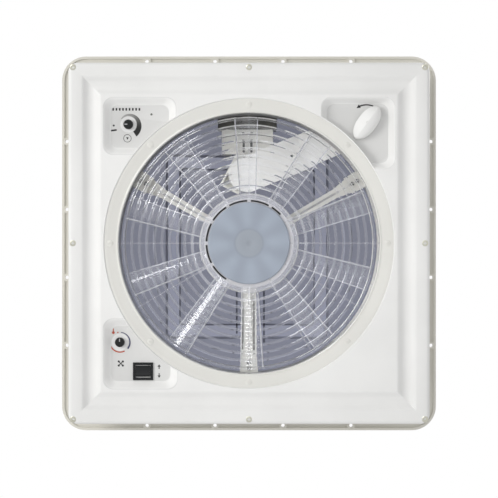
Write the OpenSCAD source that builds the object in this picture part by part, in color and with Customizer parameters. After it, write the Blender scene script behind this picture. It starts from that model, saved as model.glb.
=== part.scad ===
// Powered roof vent for a square roof opening: roof frame, hinged dome with a crank lift,
// ceiling frame with controls, ducted fan and clear guard.
// Millimetres. The dome points up, +Z. The roof's outer surface is z = 0, and the room is below it.

/* [Roof frame] */
// Side of the square opening cut in the roof
opening_w = 400; // [394:1:406]
// Thickness of the roof clamped between the two frames
roof_t = 38; // [34:1:60]
// Wall of the frames' upright walls
wall = 3; // [2.5:0.25:3.5]
// Thickness of the flange that lies on the roof
flange_t = 3; // [2.5:0.25:4]
// Radius of the flange's corners
flange_r = 30; // [24:1:34]
// Width of the lip at the flange's edge, which hides the sealant
lip_w = 3; // [2:0.5:4]
// Height of the coaming that the dome closes on, above the flange
coaming_h = 31; // [29:1:33]
// Radius of a roof screw hole
roof_hole_r = 2.2; // [1.8:0.1:2.4]

/* [Dome] */
// Wall of the dome
dome_wall = 3; // [2.5:0.25:3.5]
// Height of the raised rectangle on the dome's top
relief_h = 8; // [5:0.5:12]
// Width of the raised rectangle at its foot, across the hinge line
relief_w = 208; // [180:2:230]
// Length of the raised rectangle at its foot
relief_l = 235; // [190:2:240]
// Width of the sloped band around the raised rectangle
relief_band = 17; // [12:1:24]

/* [Ceiling frame] */
// How far the ceiling frame covers the ceiling on each side of the opening
frame_overlap = 20; // [18:1:24]
// Height of the ceiling frame below the ceiling
frame_t = 14; // [13:0.5:16]
// Wall of the ceiling frame
skin = 3; // [2.5:0.25:3.5]
// Width of the flat band outside the groove
rim_band = 18; // [16:0.5:20]
// Width of the round groove
groove_w = 20; // [18:0.5:22]
// Depth of the round groove
groove_d = 6; // [4:0.5:7]
// Depth of the pockets for the controls
pocket_d = 8; // [6:0.5:9]
// Room for the controls between the guard's seat and a pocket's corner, along the diagonal
control_room = 73; // [72.5:0.5:78]

/* [Fan and guard] */
// Number of fan blades
blade_count = 10; // [5:1:12]
// Pitch of the blades in degrees
blade_pitch = 30; // [20:1:32]
// Width of a blade at its tip, seen along the shaft
blade_tip_w = 28; // [20:1:30]
// Width of a blade at the hub, seen along the shaft
blade_root_w = 20; // [14:1:22]
// Number of rings in the guard
ring_count = 10; // [6:1:12]
// Number of spokes in the guard
spoke_count = 12; // [8:4:16]
// Width of a guard ring
ring_w = 2.6; // [2:0.2:3]
// Radius of the cap in the middle of the guard
cap_r = 49.8; // [44:0.2:51]
// Diameter of the fan motor
motor_d = 60; // [44:2:72]
// Width of a spider arm at the duct
arm_tip_w = 22; // [16:1:26]
// Width of the two upper spider arms at the hub
arm_root_w = 10; // [7:1:14]

/* [Dome lift] */
// Length of the lift knob
knob_l = 53; // [44:1:58]
// Width of the lift knob
knob_w = 25; // [20:1:28]
// Radius of the crank shaft under the lift knob
crank_r = 3.5; // [3:0.1:4]
// Width of the lift arm
lift_arm_w = 44; // [36:1:48]
// Radius of the ball at the end of the lift arm
ball_r = 8; // [7:0.25:8.5]

/* [Controls] */
// Radius of a control knob
control_r = 5.8; // [4.5:0.1:7]
// Long side of the rocker switch's rim
switch_w = 24.5; // [22:0.5:28]
// Short side of the rocker switch's rim
switch_h = 21.5; // [20:0.5:24]

/* [Hidden] */
$fn = 96;

// Clearances
neck_gap = 3;          // roof opening to neck, each side
slide_gap = 0.6;       // ceiling frame's skirt in the neck, each side
run_gap = 0.05;        // turning shaft in its bore, radial
pivot_gap = 0.3;       // sides of moving lugs
touch = 0.3;           // dome rib above the closed seal

// Screws as shank radius, head radius and head height, and the holes they pass through
small_screw = [1.3, 2.7, 1.4];
small_hole = 1.6;
large_screw = [1.8, 3.2, 1.8];
large_hole = 2;

// Roof frame
lip_h = 2;
deck_z = lip_h + flange_t;
neck_w = opening_w - 2*neck_gap;
neck_r = 18;
neck_len = 24;
neck_in = neck_w - 2*wall;
coaming_w = opening_w + 10;
coaming_r = 26;
coaming_z = deck_z + coaming_h;
dome_w = coaming_w + 26;
hinge_back = 7;        // hinge line behind the dome's wall
hinge_y = dome_w/2 + hinge_back;
flange_w = 2*(hinge_y + 7.5);
hole_edge = 6;         // roof hole to the flange's edge
hole_at = flange_w/2 - hole_edge;
hole_steps = [42.3, 126.9];
boss_r = 5;

// Hinge
hinge_z = 16;
hinge_x = 85;
knuckle_r = 5;
pin_r = 2.2;
pin_head = [3.4, 1.6];  // radius and thickness of the pin's two heads
leaf_half = 8;
leaf_wing = 5;         // how far the screwed part of the leaf is wider, each side
leaf_t = 2.2;
leaf_top = 20;
leaf_screw_at = [9, 14];
lug_w = 6;
hinge_pin_half = leaf_half + pivot_gap + lug_w;

// Seal on the coaming
seal_grip = 6;
seal_top = 5;
seal_z = coaming_z + seal_top;
seal_side = 2;

// Dome, as layers of half width, half length, corner radius and height
dome_z0 = 12;
dome_half = dome_w/2;
dome_top = seal_z + 39;
crown = [24, 10.5];    // nearly flat crown around the raised rectangle, each side
dome_layers = [
    [dome_half, dome_half, 34, dome_z0],
    [dome_half, dome_half, 34, seal_z - 3],
    [dome_half - 2, dome_half - 2, 34, seal_z + 5],
    [dome_half - 6, dome_half - 6, 33, seal_z + 13],
    [dome_half - 13, dome_half - 13, 32, seal_z + 20],
    [dome_half - 24, dome_half - 24, 34, seal_z + 27],
    [dome_half - 40, dome_half - 40, 38, seal_z + 33],
    [dome_half - 62, dome_half - 62, 40, seal_z + 37],
    [relief_w/2 + crown[0], relief_l/2 + crown[1], 36, dome_top],
    [relief_w/2, relief_l/2, 6, dome_top + 0.2],
    [relief_w/2 - relief_band, relief_l/2 - relief_band, 4, dome_top + relief_h]
];
rib_w = 3;
rib_half = coaming_w/2 - wall/2 + rib_w/2;
rib_top = seal_z + 16;

// Ceiling frame
frame_w = opening_w + 2*frame_overlap;
frame_r = 11;
edge_r = 5;            // rounding of the frame's outer edge
seat_z = -roof_t;
face_z = seat_z - frame_t;
groove_out = frame_w/2 - rim_band;
groove_mid = groove_out - groove_w/2;
groove_in = groove_out - groove_w;
groove_R = (pow(groove_w/2, 2) + pow(groove_d, 2))/(2*groove_d);
skirt_w = neck_in - 2*slide_gap;
skirt_wall = 2.5;
skirt_r = neck_r - wall - slide_gap;
skirt_top = -10;
frame_hole_r = 2.25;
frame_head_r = 4.2;    // countersink at the face
frame_head_in = 0.2;   // screw head below the face
frame_boss_r = 4.6;
frame_hole_at = frame_w/2 - 6;
pocket_edge = groove_in - 4.5;
pocket_r = 10;
speed_pocket = [89, 70];
switch_pocket = [91, 86];
lift_pocket = [90, 87];
pocket_ring = pocket_edge*sqrt(2) - control_room;
seat_band = 18;        // guard's seat around the duct
duct_r = pocket_ring - seat_band;
seat_r = pocket_ring - 1.5;
seat_d = 4;            // guard's seat above the face
guard_z = face_z + seat_d;
lift_pocket_d = 10;
floor_z = face_z + pocket_d;
lift_floor_z = face_z + lift_pocket_d;

// Places of the controls, from the corners of the pockets
speed_at = [30.4 - pocket_edge, 32.7 - pocket_edge];
led_at = [58.4 - pocket_edge, 20.3 - pocket_edge];
thermo_at = [20.1 - pocket_edge, pocket_edge - 56.9];
switch_at = [48.3 - pocket_edge, pocket_edge - 21.4];
knob_side = 1.1;       // guard's seat to the lift knob's point
crank_diag = (pocket_ring + knob_l/2 + knob_side)/sqrt(2);
crank_at = [crank_diag - 1.4, -crank_diag - 1.4];

// Control knobs, potentiometers and board
knob_lift = 0.4;       // knob above the pocket's floor, and short of the face
control_shaft = 3;
pot_half = 8;
pot_h = 8;
pot_end = 2;
board_z = floor_z + skin + pot_h;
board_t = 1.6;
board_at = [5.5 - pocket_edge, 6.5 - pocket_edge];
board_w = 68;
board_l = 43;
post_r = 3.5;
wire_step = 8;
wire_r = 1.8;
led_r = 1.5;

// Rocker switch
switch_rim = 2;
switch_rim_t = 1.6;
switch_deep = 18;
rocker_gap = 0.3;
rocker_half = [switch_w/2 - 3.4, switch_h/2 - 3.4];
rocker_tilt = 10;
rocker_z = floor_z + 2;
rocker_pin_r = 1.5;
rocker_pin_half = switch_w/2 - 2.35;
rocker_hollow_R = 24.2;
rocker_waist = 3.8;    // rocker's face below its pivot, at the middle

// Guard and its ring
plate_t = 1.5;         // guard's flange under the ring
ring_in = duct_r - 0.8;
ring_out = duct_r + 16;
guard_rim_in = ring_in - 1.2;
guard_rim_out = ring_out - 4;
ring_low = 2.4;        // guard ring below its seat, and its ridge
ring_high = 3.2;
ridge_in = duct_r + 4;
ridge_out = duct_r + 11.4;
guard_screw_r = duct_r + 9.5;
guard_deep = 4.5;
hub_ring = [cap_r + 3.1, cap_r + 11];
first_ring = hub_ring[1] + 8.5;
last_ring = guard_rim_in - 5.9;
ring_step = (last_ring - first_ring)/(ring_count - 1);
spoke_w = 2;
spoke_in = cap_r - 5;
cap_t = 1.6;

// Fan stack above the ceiling frame's face
fan_z = face_z + 20;
fan_r = duct_r - 7.5;
fan_phase = -19.3;
hub_r = 46;
hub_wall = 2.5;
hub_boss_r = 8;
hub_z0 = fan_z - 10;
hub_z1 = fan_z + 8;
blade_R = 47;
blade_t = 1.8;
spider_z = face_z + 36;
spider_t = 7;
duct_top = face_z + 46;
duct_wall = 3;
duct_foot = 17.5 - skin;
pad_in = duct_r - 19;
pad_t = 4;
spider_hub_r = 56;
spider_hub_t = 5;
arm_flare = 38;        // arms widen within this distance of the duct
channel = [2.6, 3];    // width and depth of the channels along the arms
lead_arm_w = arm_tip_w - 3;
arm_screw_r = [duct_r - 13.5, duct_r - 6];
motor_z = spider_z + spider_hub_t;
motor_h = 37;
motor_top = motor_z + motor_h;
motor_end_h = 4;       // smaller step and bearing boss at the motor's top
motor_boss_r = 9;
shaft_r = 3;
nut_r = 6;
nut_t = 3;
motor_screw_at = 16;
spider_angles = [-30, -150, 90];

// Crank, worm and lift arm, in a frame along the arm with its origin on the crank
tip_at = [-11, -82];   // middle of the lift arm's round end
lift_run = norm(tip_at - crank_at);
lift_angle = atan2(tip_at[1] - crank_at[1], tip_at[0] - crank_at[0]);
gear_m = 1.5;
gear_teeth = 32;
gear_R = gear_m*gear_teeth/2;
tooth_root = [2.5, 1.6];  // inside the pitch circle, and half width there
tooth_tip = [1.2, 0.45];  // outside the pitch circle, and half width there
sector_half = 3;
worm_R = 7;
gear_d = gear_R + worm_R;
worm_lead = PI*gear_m;
worm_half = 11;
worm_core = worm_R - 2;
worm_tip = worm_R + 1.4;
thread_foot = 1.7;     // half widths of the thread
thread_crest = 0.4;
worm_seg = 24;
worm_turns = 4;
worm_rows = worm_seg*worm_turns;
pivot_z = 46;
ball_past_tip = 10;
arm_len = lift_run - gear_d + ball_past_tip;
arm_rest = 14;         // the closed arm slopes down by this many degrees
arm_drop = 20;         // arm plate's underside below the line from pivot to ball
arm_t = 5;
arm_hub_r = 9;
arm_hub_half = 8.9;
arm_neck_at = 30;      // arm widens between these distances from its pivot
arm_wide_at = 48;
arm_holes = [66, 74];
arm_hole_r = 2;
ball_post_r = 2.5;
ball_seat_r = 5;
arm_pin_r = 4;
cheek_in = 9.2;
cheek_t = 3;
base_t = 4;
bearing_t = 3;
bearing_front = crank_r + 4;  // bearing plate short of the sector's teeth
bearing_z = pivot_z + 13;
crank_top = bearing_z + bearing_t;
bracket_back = 12;     // bracket's ends beyond the crank and beyond the pivot
bracket_front = 13;
tongue_from = 6;       // tongue starts at this distance beyond the pivot
foot_y = [5.5 - pocket_edge, 55.5 - pocket_edge];
foot_x = coaming_w/2 - wall - 0.5;
ledge_mid = (neck_in/2 + coaming_w/2 - wall)/2;

// Lift knob
knob_proud = 3;        // knob below the ceiling frame's face
knob_angle = -53;
knob_boss_r = 11;
knob_blunt = 6;        // cut off the knob's points
grub_r = 1.5;
grub_l = 3.8;

// Ball at rest, and the runner on the dome that it slides in
ball_rest = [
    crank_at[0] + (gear_d + arm_len*cos(arm_rest))*cos(lift_angle),
    crank_at[1] + (gear_d + arm_len*cos(arm_rest))*sin(lift_angle),
    pivot_z - arm_len*sin(arm_rest)
];
runner_angle = -62;
runner_play = 3.2;     // above the ball when closed
runner_side = 2.5;     // beside the ball
runner_shift = 1.9;    // runner's middle beside the closed ball
runner_back = 12.5;
runner_on = 30;
runner_wall = 2.5;
runner_half = ball_r + runner_side;
runner_depth = 9;
runner_z = ball_rest[2] + ball_r + runner_play;
hanger = [[-34, 30], [-143, -112]];  // ends along X and along Y
hanger_top = dome_top - dome_wall - 6;
hanger_t = 4;
hanger_leg = 3;
hanger_foot = 12;
slot_x = [-7.6, 2.5];
slot_y = [-129, -114];
shield_y = -163;
shield_t = 2;
shield_side = 5;
corner_steps = 8;
ring_points = 4*(corner_steps + 1);

white = [0.92, 0.92, 0.90];
cream = [0.85, 0.84, 0.80];
black = [0.12, 0.12, 0.12];
steel = [0.75, 0.76, 0.78];
smoke = [0.50, 0.52, 0.60, 0.6];
clear = [0.85, 0.90, 0.95, 0.4];
green = [0.15, 0.40, 0.20];
brass = [0.80, 0.70, 0.40];

// Square with round corners, from exact pieces
module round_square(w, r) {
    square([w, w - 2*r], center = true);
    square([w - 2*r, w], center = true);
    for (x = [-1, 1], y = [-1, 1])
        translate([x*(w/2 - r), y*(w/2 - r)]) circle(r);
}

// Square tube between two heights
module square_tube(w, t, r, z0, z1) {
    translate([0, 0, z0]) linear_extrude(z1 - z0) difference() {
        round_square(w, r);
        round_square(w - 2*t, r - t);
    }
}

module square_block(w, r, z0, z1) {
    translate([0, 0, z0]) linear_extrude(z1 - z0) round_square(w, r);
}

module disc(r, z0, z1) {
    translate([0, 0, z0]) cylinder(r = r, h = z1 - z0);
}

module tube(r_in, r_out, z0, z1) {
    difference() {
        disc(r_out, z0, z1);
        disc(r_in, z0 - 1, z1 + 1);
    }
}

module box(x0, x1, y0, y1, z0, z1) {
    translate([x0, y0, z0]) cube([x1 - x0, y1 - y0, z1 - z0]);
}

// Box centred on the Z axis, from its half sides
module mid_box(x, y, z0, z1) {
    box(-x, x, -y, y, z0, z1);
}

// Cylinder along Y, centred on the origin
module bar_y(r, half) {
    rotate([90, 0, 0]) translate([0, 0, -half]) cylinder(r = r, h = 2*half);
}

// Cylinder along X, centred on the origin
module bar_x(r, half) {
    rotate([0, 90, 0]) translate([0, 0, -half]) cylinder(r = r, h = 2*half);
}

// Countersunk screw pointing up from its head, which is flush at z = 0
module sunk_screw(r, head_r, length) {
    cylinder(r1 = head_r, r2 = r, h = head_r - r);
    cylinder(r = r, h = length);
}

// Pan head screw pointing up, with the head under z = 0
module pan_screw(kind, length) {
    cylinder(r = kind[0], h = length);
    translate([0, 0, -kind[2]]) cylinder(r = kind[1], h = kind[2]);
}

module at_roof_holes() {
    for (side = [0:90:270], s = [-1, 1], step = hole_steps)
        rotate([0, 0, side]) translate([s*step, hole_at, 0]) children();
}

module at_frame_holes() {
    for (x = [-1, 0, 1], y = [-1, 0, 1])
        if (x != 0 || y != 0) translate([x*frame_hole_at, y*frame_hole_at, 0]) children();
}

module at_guard_screws() {
    for (i = [0:7]) rotate([0, 0, 45*i]) translate([guard_screw_r, 0, 0]) children();
}

module at_spider_screws() {
    for (a = spider_angles, r = arm_screw_r) rotate([0, 0, a]) translate([r, 0, 0]) children();
}

module at_motor_screws() {
    for (a = [0:120:240]) rotate([0, 0, a]) translate([motor_screw_at, 0, 0]) children();
}

module at_hinges() {
    for (s = [-1, 1]) translate([s*hinge_x, hinge_y, hinge_z]) children();
}

// Frame along the lift arm: +X runs from the crank to the arm's end
module at_crank() {
    translate([crank_at[0], crank_at[1], 0]) rotate([0, 0, lift_angle]) children();
}

module at_pivot() {
    at_crank() translate([gear_d, 0, pivot_z]) children();
}

// The lift arm's own frame, sloping down as it lies when the dome is closed
module at_arm() {
    at_pivot() rotate([0, arm_rest, 0]) children();
}

module hinge_tower() {
    for (s = [-1, 1]) translate([s*(leaf_half + pivot_gap + lug_w/2), 0, 0]) {
        rotate([0, 90, 0]) translate([0, 0, -lug_w/2]) cylinder(r = knuckle_r, h = lug_w);
        box(-lug_w/2, lug_w/2, -knuckle_r, knuckle_r, deck_z - hinge_z, 0);
    }
}

module roof_frame() {
    color(white) difference() {
        union() {
            square_block(flange_w, flange_r, lip_h, deck_z);
            square_tube(flange_w, lip_w, flange_r, 0, deck_z);
            at_roof_holes() disc(boss_r, 0, deck_z);
            square_tube(neck_w, wall, neck_r, -neck_len, deck_z);
            square_tube(coaming_w, wall, coaming_r, lip_h, coaming_z);
            at_hinges() hinge_tower();
        }
        square_block(neck_in, neck_r - wall, lip_h - 1, deck_z + 1);
        at_roof_holes() disc(roof_hole_r, -1, deck_z + 1);
        at_hinges() rotate([0, 90, 0]) cylinder(r = pin_r, h = 2*hinge_pin_half, center = true);
        at_gear_screws() disc(large_screw[0], 0, deck_z + 1);
    }
}

module dome_seal() {
    color(black) difference() {
        square_tube(coaming_w + 2*seal_side, wall + 2*seal_side, coaming_r + seal_side,
            coaming_z - seal_grip, seal_z);
        square_tube(coaming_w, wall, coaming_r, coaming_z - seal_grip - 1, coaming_z);
    }
}

module hinge_pins() {
    half = hinge_pin_half;
    color(steel) at_hinges() rotate([0, 90, 0]) {
        cylinder(r = pin_r, h = 2*half, center = true);
        for (z = [half, -half - pin_head[1]])
            translate([0, 0, z]) cylinder(r = pin_head[0], h = pin_head[1]);
    }
}

// Rounded rectangle between two corners, grown by g and cut back to the guard's seat
module pocket_plan(x0, x1, y0, y1, g) {
    difference() {
        union() {
            translate([x0 + pocket_r, y0 - g]) square([x1 - x0 - 2*pocket_r, y1 - y0 + 2*g]);
            translate([x0 - g, y0 + pocket_r]) square([x1 - x0 + 2*g, y1 - y0 - 2*pocket_r]);
            for (x = [x0 + pocket_r, x1 - pocket_r], y = [y0 + pocket_r, y1 - pocket_r])
                translate([x, y]) circle(pocket_r + g);
        }
        circle(pocket_ring - g);
    }
}

// The three control pockets, grown by g at the sides and by up at the floor
module pockets(g, z0, up) {
    e = pocket_edge;
    translate([0, 0, z0]) {
        linear_extrude(floor_z + up - z0)
            pocket_plan(-e, speed_pocket[0] - e, -e, speed_pocket[1] - e, g);
        linear_extrude(floor_z + up - z0)
            pocket_plan(-e, switch_pocket[0] - e, e - switch_pocket[1], e, g);
        linear_extrude(lift_floor_z + up - z0)
            pocket_plan(e - lift_pocket[0], e, -e, lift_pocket[1] - e, g);
    }
}

// Round groove with mitred corners, grown by g, between the face and a height above it
module groove(g, z0) {
    half = groove_w/2 + g;
    far = groove_mid + half;
    near = groove_mid - half;
    for (a = [0:90:270]) rotate([0, 0, a]) intersection() {
        translate([groove_mid, 0, face_z + groove_d - groove_R]) bar_y(groove_R + g, far + 1);
        translate([0, 0, z0]) linear_extrude(face_z + groove_d + g + 1 - z0)
            polygon([[near, -near], [far, -far], [far, far], [near, near]]);
    }
}

// Section of the ceiling frame's edge: a face, a rounded corner and an upright wall
module edge_section() {
    difference() {
        union() {
            square([frame_r - edge_r, frame_t]);
            translate([0, edge_r]) square([frame_r, frame_t - edge_r]);
            translate([frame_r - edge_r, edge_r]) circle(edge_r);
        }
        translate([-1, skin]) square([frame_r - skin + 1, frame_t]);
    }
}

// Edge section carried round the square
module frame_edge() {
    mid = frame_w/2 - frame_r;
    for (a = [0:90:270]) rotate([0, 0, a]) {
        translate([mid, mid, face_z]) rotate([90, 0, 0]) linear_extrude(2*mid) edge_section();
        translate([mid, mid, face_z]) rotate_extrude(angle = 90) intersection() {
            edge_section();
            square([frame_r, frame_t]);
        }
    }
}

module ceiling_frame() {
    flat = frame_w - 2*frame_r;
    color(white) difference() {
        union() {
            frame_edge();
            box(-flat/2, flat/2, -flat/2, flat/2, face_z, face_z + skin);
            groove(skin, face_z + 1);
            pockets(skin, face_z + 1, skin);
            disc(seat_r + skin, face_z + 1, guard_z + skin);
            square_tube(skirt_w, skirt_wall, skirt_r, face_z + groove_d + 1, skirt_top);
            at_frame_holes() disc(frame_boss_r, face_z + 1, seat_z);
            at_board_posts() disc(post_r, floor_z + 1, board_z);
        }
        groove(0, face_z - 1);
        pockets(0, face_z - 1, 0);
        disc(seat_r, face_z - 1, guard_z);
        disc(duct_r, face_z - 1, duct_top);
        at_frame_holes() {
            disc(frame_hole_r, face_z - 1, seat_z + 1);
            translate([0, 0, face_z - 0.01])
                cylinder(r1 = frame_head_r, r2 = frame_hole_r, h = frame_head_r - frame_hole_r);
        }
        at_guard_screws() disc(small_hole, face_z, guard_z + skin + 1);
        for (at = [speed_at, thermo_at]) translate(at) disc(control_shaft + 0.4, face_z, 0);
        translate(led_at) disc(led_r, face_z, floor_z + skin + 1);
        translate(crank_at) disc(crank_r + 1, face_z, 0);
        translate(switch_at) mid_box(switch_w/2 - switch_rim + 0.1, switch_h/2 - switch_rim + 0.1,
            face_z, floor_z + switch_deep);
        at_board_posts() disc(small_screw[0], board_z - 5, board_z + 1);
    }
}

module frame_screws() {
    color(steel) at_frame_holes() translate([0, 0, face_z + frame_head_in])
        sunk_screw(frame_hole_r, frame_head_r - frame_head_in - run_gap, frame_t - frame_head_in);
}

// Round duct around the fan, with a foot on the ceiling frame and three pads for the spider
module fan_duct() {
    foot_z = guard_z + skin;
    color(white) difference() {
        union() {
            tube(duct_r, duct_r + duct_wall, foot_z, duct_top);
            tube(duct_r, duct_r + duct_foot, foot_z, foot_z + skin);
            for (a = spider_angles) rotate([0, 0, a]) difference() {
                box(pad_in, duct_r + 1, -arm_tip_w/2, arm_tip_w/2, spider_z - pad_t, spider_z);
                for (r = arm_screw_r)
                    translate([r, 0, 0]) disc(small_hole, spider_z - pad_t - 1, spider_z + 1);
            }
        }
        at_guard_screws() disc(small_screw[0], foot_z - 1, foot_z + skin + 1);
    }
}

// Ring that holds the guard's rim, with a raised ridge under the screw heads
module guard_ring() {
    seat_in = guard_rim_out + 0.2;
    color(cream) difference() {
        rotate_extrude() translate([0, guard_z]) polygon([
            [ring_in, -plate_t], [ring_in, -ring_low], [ridge_in, -ring_low], [ridge_in + 0.8, -ring_high],
            [ridge_out - 0.8, -ring_high], [ridge_out, -ring_low], [ring_out - 1, -ring_low],
            [ring_out, 1 - ring_low], [ring_out, 0], [seat_in, 0], [seat_in, -plate_t]
        ]);
        at_guard_screws() disc(small_hole, guard_z - 5, guard_z + 1);
    }
}

// Flat outline of the clear guard
module guard_plan() {
    for (i = [0:ring_count - 1]) difference() {
        circle(first_ring + ring_step*i + ring_w/2);
        circle(first_ring + ring_step*i - ring_w/2);
    }
    difference() {
        circle(hub_ring[1]);
        circle(hub_ring[0]);
    }
    for (i = [0:spoke_count - 1]) rotate([0, 0, 360/spoke_count*i])
        translate([spoke_in, -spoke_w/2]) square([guard_rim_in + 1 - spoke_in, spoke_w]);
}

module fan_guard() {
    color(clear) {
        translate([0, 0, guard_z - plate_t]) linear_extrude(guard_deep) guard_plan();
        difference() {
            tube(guard_rim_in, guard_rim_out, guard_z - plate_t, guard_z);
            at_guard_screws() disc(small_hole, guard_z - 5, guard_z + 1);
        }
    }
}

module guard_cap() {
    color(clear) {
        disc(cap_r, guard_z - plate_t - cap_t, guard_z - plate_t);
        tube(spoke_in - 4, spoke_in - 2, guard_z - plate_t - 0.5, guard_z - plate_t + 3);
    }
}

module guard_screws() {
    color(steel) at_guard_screws() translate([0, 0, guard_z - ring_high])
        pan_screw(small_screw, ring_high + 2*skin - 0.3);
}

// One arm along +X: slim to its flare, then wide at the duct, with channels that lie at these sides
module spider_arm(root_w, channels) {
    from = spider_hub_r - 8;
    flare = duct_r - arm_flare;
    wide = duct_r - 14;
    end = duct_r - 0.4;
    slim = root_w/2;
    half = arm_tip_w/2 - 1;
    difference() {
        translate([0, 0, spider_z]) linear_extrude(spider_t) polygon([
            [from, -slim], [flare, -slim - 0.7], [wide, -half], [end, -half],
            [end, half], [wide, half], [flare, slim + 0.7], [from, slim]
        ]);
        for (r = arm_screw_r)
            translate([r, 0, 0]) disc(small_screw[0], spider_z - 1, spider_z + spider_t + 1);
        for (y = channels)
            box(spider_hub_r + 6, flare, y - channel[0]/2, y + channel[0]/2,
                spider_z - 1, spider_z + channel[1]);
    }
}

// Three arms that carry the motor; the third is as wide at the hub, for the motor's lead
module motor_spider() {
    color(cream) difference() {
        union() {
            for (i = [0:1]) rotate([0, 0, spider_angles[i]]) spider_arm(arm_root_w, [0]);
            rotate([0, 0, spider_angles[2]]) spider_arm(lead_arm_w, [lead_arm_w/2 - 2.5, 5 - lead_arm_w/2]);
            disc(spider_hub_r, spider_z, spider_z + spider_hub_t);
            tube(spider_hub_r - 4, spider_hub_r, spider_z, spider_z + spider_t + 3);
        }
        disc(shaft_r + 4, spider_z - 1, spider_z + spider_hub_t + 1);
        at_motor_screws() disc(small_hole, spider_z - 1, spider_z + spider_hub_t + 1);
    }
}

module spider_screws() {
    color(steel) at_spider_screws() translate([0, 0, spider_z - pad_t])
        pan_screw(small_screw, pad_t + 5);
}

module motor() {
    color(steel) difference() {
        union() {
            disc(motor_d/2, motor_z, motor_top - motor_end_h);
            disc(motor_d/2 - 3, motor_z, motor_top);
            disc(motor_boss_r, motor_top - 1, motor_top + motor_end_h);
        }
        disc(shaft_r + run_gap, motor_z - 1, motor_top - motor_end_h);
        at_motor_screws() disc(small_screw[0], motor_z - 1, motor_z + 6);
    }
}

module motor_screws() {
    color(steel) at_motor_screws() translate([0, 0, spider_z]) pan_screw(small_screw, spider_hub_t + 5);
}

module motor_shaft() {
    color(steel) disc(shaft_r, hub_z0 - 1, motor_top - 2*motor_end_h);
}

// One blade along +X: a strip of a wide tube, pitched and cut to its outline
module fan_blade() {
    root = hub_r - hub_wall/2;
    narrow = blade_root_w/2 - 1;
    wide = blade_tip_w/2;
    intersection() {
        translate([0, 0, fan_z - 13]) linear_extrude(26)
            polygon([[root, -narrow], [fan_r, -wide], [fan_r, wide], [root, narrow]]);
        translate([0, 0, fan_z]) rotate([blade_pitch, 0, 0]) translate([0, 0, -blade_R])
            rotate([0, 90, 0]) tube(blade_R - blade_t/2, blade_R + blade_t/2, 0, fan_r + 20);
    }
}

module fan_rotor() {
    color(clear) difference() {
        union() {
            disc(hub_r, hub_z0, hub_z0 + hub_wall);
            tube(hub_r - hub_wall, hub_r, hub_z0, hub_z1);
            disc(hub_boss_r, hub_z0 + 1, hub_z1);
            for (a = [15:60:135]) rotate([0, 0, a]) mid_box(hub_r - 1, 1, hub_z0 + 1, hub_z1 - 4);
            for (i = [0:blade_count - 1])
                rotate([0, 0, fan_phase + 360/blade_count*i]) fan_blade();
        }
        disc(shaft_r, hub_z0 - 1, hub_z1 + 1);
    }
}

module fan_nut() {
    color(steel) difference() {
        translate([0, 0, hub_z0 - nut_t]) cylinder(r = nut_r, h = nut_t, $fn = 6);
        disc(shaft_r, hub_z0 - 1, hub_z0 + 1);
    }
}

// Knob and its shaft, which ends inside the potentiometer
module control_knob(at) {
    translate(at) {
        disc(control_r, face_z + knob_lift, floor_z - knob_lift);
        disc(control_shaft, floor_z - 1, board_z - pot_end - 0.5);
    }
}

module pot_body(at) {
    translate(at) difference() {
        mid_box(pot_half, pot_half, floor_z + skin, board_z);
        disc(control_shaft + run_gap, floor_z, board_z - pot_end);
    }
}

module speed_knob() {
    color(black) control_knob(speed_at);
}

module thermostat_knob() {
    color(black) control_knob(thermo_at);
}

module speed_pot() {
    color(steel) pot_body(speed_at);
}

module thermostat_pot() {
    color(steel) pot_body(thermo_at);
}

module status_led() {
    color(clear) translate(led_at) {
        disc(led_r, floor_z + 0.2, board_z);
        disc(led_r + 1, floor_z + skin, floor_z + skin + 1);
    }
}

module control_board() {
    color(green) difference() {
        translate([board_at[0], board_at[1], board_z]) cube([board_w, board_l, board_t]);
        at_board_posts() disc(small_hole, board_z - 1, board_z + board_t + 1);
    }
}

module board_screws() {
    color(steel) at_board_posts() translate([0, 0, board_z + board_t])
        mirror([0, 0, 1]) pan_screw(small_screw, board_t + 4);
}

module supply_terminal() {
    at = board_at + [board_w - 26, board_l - 12];
    color(green) translate([at[0], at[1], board_z + board_t]) difference() {
        mid_box(wire_step, 5, 0, 10);
        for (s = [-1, 1]) translate([s*wire_step/2, 0, 5]) bar_y(wire_r, 6);
    }
}

// Rim on the pocket's floor, and a body through it with a well for the rocker
module switch_body() {
    color(black) translate(switch_at) difference() {
        union() {
            mid_box(switch_w/2, switch_h/2, floor_z - switch_rim_t, floor_z);
            mid_box(switch_w/2 - switch_rim, switch_h/2 - switch_rim, floor_z - 0.5, floor_z + switch_deep);
        }
        mid_box(rocker_half[0] + rocker_gap, rocker_half[1] + rocker_gap, floor_z - 5, floor_z + 8);
        translate([0, 0, rocker_z]) bar_x(rocker_pin_r + run_gap, rocker_pin_half + 0.25);
    }
}

// Rocker as a slice of a bar on its pivot, hollowed for a finger, with one end pressed in
module switch_rocker() {
    color(black) translate([switch_at[0], switch_at[1], rocker_z]) rotate([-rocker_tilt, 0, 0]) {
        difference() {
            intersection() {
                mid_box(rocker_half[0], rocker_half[1] - 0.4, -6, 3);
                bar_x(rocker_half[1] - 0.2, switch_w/2);
            }
            translate([0, 0, -rocker_hollow_R - rocker_waist]) bar_x(rocker_hollow_R, switch_w/2);
        }
        bar_x(rocker_pin_r, rocker_pin_half);
    }
}

module switch_terminals() {
    color(brass) translate(switch_at) for (y = [-5, 0, 5]) translate([0, y, 0])
        mid_box(2.4, 0.4, floor_z + switch_deep, floor_z + switch_deep + 8);
}

module at_board_posts() {
    for (x = [5, board_w - 6]) translate([board_at[0] + x, board_at[1] + 5, 0]) children();
}

module at_gear_screws() {
    for (y = [foot_y[0] + 7, foot_y[1] - 7]) translate([ledge_mid, y, 0]) children();
}

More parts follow.
